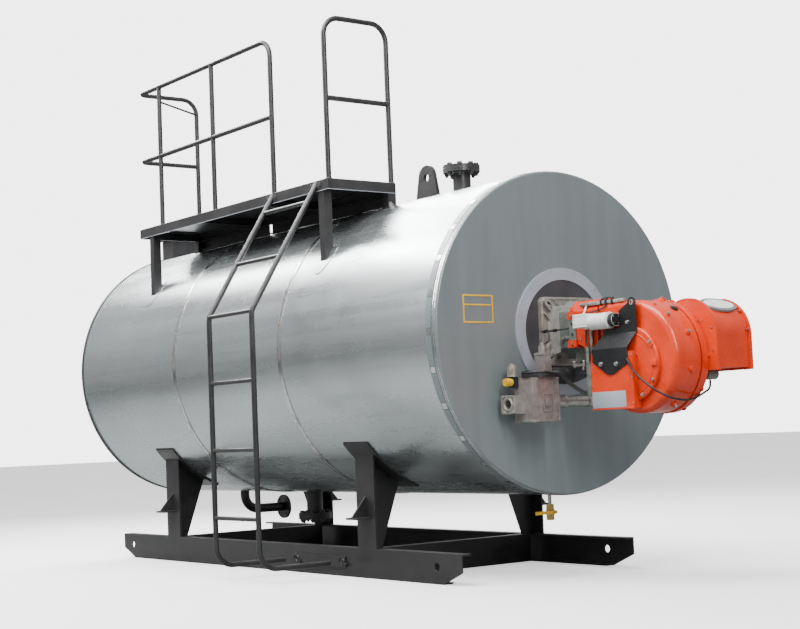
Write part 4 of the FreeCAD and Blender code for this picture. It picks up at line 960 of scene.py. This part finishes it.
def knob_details(bm):
    ring(bm, at(82, -485, -262), (0, 0, 1), 0.0290, (0.002, 0.003), 48, 8)
    ring(bm, at(82, -485, -205), (0, 0, 1), 0.0275, (0.002, 0.003), 48, 8)
    cylinder(bm, at(82, -485, -203), at(82, -485, -190), 0.014, 6, bevel=0.002)
    block(bm, at(84, -517, -244), at(112, -500, -214), 0.004)


def union_details(bm):
    cylinder(bm, at(145, 14, -410), at(145, 55, -410), 0.0395, 8, bevel=0.002)
    for y in (-290, -163):
        ring(bm, at(145, y, -410), (0, 1, 0), 0.0382, (0.003, 0.005), 64, 8)


# ---- drain valve, ladder and platform -----------------------------------------------------
def brass_nuts(bm):
    x = FRONT_X - 0.195
    for low, high in ((0.402, 0.423), (0.329, 0.350)):
        cylinder(bm, (x, 0, low), (x, 0, high), 0.0245, 6, bevel=0.002)
    for z in (0.365, 0.387):
        ring(bm, (x, 0, z), (0, 0, 1), 0.0242, (0.0014, 0.002), 40, 8)


def stile_bolts(bm):
    for x in STILES_X:
        for z in (0.075, 0.105):
            hex_bolt(bm, (x + (0.035 if z < 0.09 else -0.035), -0.691, z), (0, -1, 0), 0.006)
        for shift in (-0.045, 0.045):
            hex_bolt(bm, (x + shift, -0.790, 2.447), (0, -1, 0), 0.006)


def stile_plates(bm):
    """Head plates that hold the ladder's stiles to the platform's edge."""
    for x in STILES_X:
        block(bm, (x - 0.060, -0.7945, 2.424), (x + 0.060, -0.7895, 2.472), 0.0015)


def fascia_edge_highlight(bm):
    """A thin light strip along the foot of the platform's fascia and its front end: a painted highlight on
    the lower edge.
    """
    x_low, x_high = DECK_X
    block(bm, (x_low, -0.7915, 2.4155), (x_high, -0.7865, 2.4190), 0.0005)
    block(bm, (x_high - 0.001, -0.790, 2.4155), (x_high + 0.0015, -0.266, 2.4190), 0.0005)


def deck_rim(bm):
    x_low, x_high = DECK_X
    y, z = -0.7885, 2.4835
    tube(bm, [(x_low, y, z), ((x_low + x_high) / 2, y, z), (x_high, y, z)], 0.0022, 6, 2)
    for x in (-0.30, -0.62, -1.02, -1.42, -1.82, -2.22, -2.55):
        block(bm, (x - 0.012, -0.7925, 2.421), (x + 0.012, -0.7895, 2.433), 0.001)


def leg_bolts(bm):
    for x in (0.0, -2.480):
        for y in (-0.648, 0.648):
            for dx in (-0.065, 0.065):
                hex_bolt(bm, (x + dx, y, 0.180), (0, 0, 1), 0.007)


def shell_fitting(bm):
    """A small plugged socket on the shell by the platform's front corner."""
    y = -0.350
    foot = Vector((-0.050, y, AXIS_Z + math.sqrt(SHELL_R ** 2 - y ** 2)))
    out = Vector((0, y, foot.z - AXIS_Z)).normalized()
    cylinder(bm, foot - out * 0.004, foot + out * 0.022, 0.017, 24, bevel=0.002)
    cylinder(bm, foot + out * 0.022, foot + out * 0.036, 0.012, 6, bevel=0.0015)


PIECES = {
    "charcoal_paint": (flange_bolts, structure_welds, stile_bolts, stile_plates, deck_rim, leg_bolts),
    "end_cover": (cover_clips, badge_rim),
    "stainless_band": (cover_clasps, seam_clasps),
    "yellow_paint": (cover_plate, cap_grip),
    "zinc_pipe": (ring_screws, flange_fixings, body_screws, scroll_screws, intake_screws, servo_screws,
        bracket_bolts, linkage, gas_box_screws, valve_screws, inlet_screws, silver_fittings,
        neck_fittings, union_details, shell_fitting),
    "cast_aluminium": (flange_castings, inlet_flange, knob_details),
    # the black fills of the ears' slots and the hinge's holes are painted shade
    "black_plastic": (ear_slot_shade, hinge_hole_shade, scroll_plug, servo_cap_ribs, bar_clamps, switch_details,
        disc_ribs, plug_lines),
    "grey_casting": (hinge_details, damper_details, edge_strip),
    "orange_paint": (body_trim, scroll_bosses, lid_details, intake_details, gas_box_lip),
    "white_plastic": (badge_face, servo_details),
    "black_rubber": (burner_leads, sensing_line),
    # the light strip along the fascia's foot is a painted highlight
    "light_ring": (gas_box_plate, fascia_edge_highlight),
    "valve_casting": (valve_details,),
    "brass": (brass_nuts,),
}
for slot_name, builds in PIECES.items():
    for build in builds:
        piece(build.__name__, slot_name, build)


# ---- floor, light and camera --------------------------------------------------------------
bpy.ops.mesh.primitive_plane_add(size=120, location=(0, 0, 0))
floor = bpy.context.object
floor.name = "floor"
ground = Shader("pale_floor")
tone = ground.ramp(ground.noise(0.6, 3.0, 0.5), 0.3, 0.7)
pale = ground.mix(tone, (0.86, 0.86, 0.86), (0.89, 0.89, 0.89))
# camera rays see a paler floor, with some glow, than the rays that light the boiler do
FLOOR_FOR_LIGHT = (0.20, 0.205, 0.205)
FLOOR_GLOW = 0.9
seen = ground.add("ShaderNodeLightPath").outputs["Is Camera Ray"]
floor.data.materials.append(ground.finish(ground.mix(seen, FLOOR_FOR_LIGHT, pale), 0.0, 0.85))
ground.link(pale, ground.bsdf.inputs["Emission Color"])
ground.put(ground.bsdf.inputs["Emission Strength"], ground.math("MULTIPLY", seen, FLOOR_GLOW))

# for light, the studio is darker near its floor than overhead; camera rays see an even backdrop
LOW_STRENGTH, HIGH_STRENGTH, BACKDROP_STRENGTH = 0.34, 0.66, 4.5
HIGH_FROM = 0.50                # the height of a ray's direction from which it is at its brightest
world = bpy.data.worlds.new("studio")
bpy.context.scene.world = world
world.use_nodes = True
add, link = world.node_tree.nodes.new, world.node_tree.links.new
background = world.node_tree.nodes["Background"]
background.inputs["Color"].default_value = (1, 1, 1, 1)
direction = add("ShaderNodeTexCoord")
split = add("ShaderNodeSeparateXYZ")
overhead = add("ShaderNodeMapRange")
backdrop = add("ShaderNodeMapRange")
overhead.inputs["From Max"].default_value = HIGH_FROM
overhead.inputs["To Min"].default_value = LOW_STRENGTH
overhead.inputs["To Max"].default_value = HIGH_STRENGTH
backdrop.inputs["To Max"].default_value = BACKDROP_STRENGTH
link(direction.outputs["Generated"], split.inputs[0])
link(split.outputs["Z"], overhead.inputs["Value"])
link(overhead.outputs[0], backdrop.inputs["To Min"])
link(add("ShaderNodeLightPath").outputs["Is Camera Ray"], backdrop.inputs["Value"])
link(backdrop.outputs[0], background.inputs["Strength"])


def area_light(name, spot, aim, size, power):
    light = bpy.data.lights.new(name, "AREA")
    light.shape = "RECTANGLE"
    light.size, light.size_y = size
    light.energy = power
    obj = bpy.data.objects.new(name, light)
    bpy.context.collection.objects.link(obj)
    obj.location = spot
    obj.rotation_euler = (Vector(aim) - Vector(spot)).to_track_quat("-Z", "Y").to_euler()


area_light("top_soft_light", (0.5, -3.5, 7.5), (-1.0, -0.3, 1.5), (7, 4), 1150)
area_light("left_soft_light", (-4, -8, 5.5), (-1.0, 0, 1.8), (5, 2), 130)
area_light("strip_light_high", (-5.0, -2.6, 6.3), (0.2, -0.6, 2.0), (6, 0.5), 330)
area_light("burner_light", (7.0, -2.5, 5.0), (1.9, 0, 1.5), (0.5, 4), 330)
area_light("rear_sky_light", (-6.0, 1.2, 6.6), (0.2, -0.5, 1.9), (7, 3.6), 1500)

camera = bpy.data.cameras.new("camera")
camera.lens = 69.43
camera.sensor_width = 36
view = bpy.data.objects.new("camera", camera)
bpy.context.collection.objects.link(view)
stand = Vector((7.7945, -6.1551, 0.8885))
yaw, pitch, roll = 2.5021, 0.0754, -0.0411      # radians
ahead = Vector((math.cos(pitch) * math.cos(yaw), math.cos(pitch) * math.sin(yaw), math.sin(pitch)))
right = ahead.cross(Vector((0, 0, 1))).normalized()
upward = right.cross(ahead)
tilted_right = right * math.cos(roll) + upward * math.sin(roll)
tilted_up = upward * math.cos(roll) - right * math.sin(roll)
turn = Matrix((tilted_right, tilted_up, -ahead)).transposed()
view.matrix_world = Matrix.Translation(stand) @ turn.to_4x4()
bpy.context.scene.camera = view
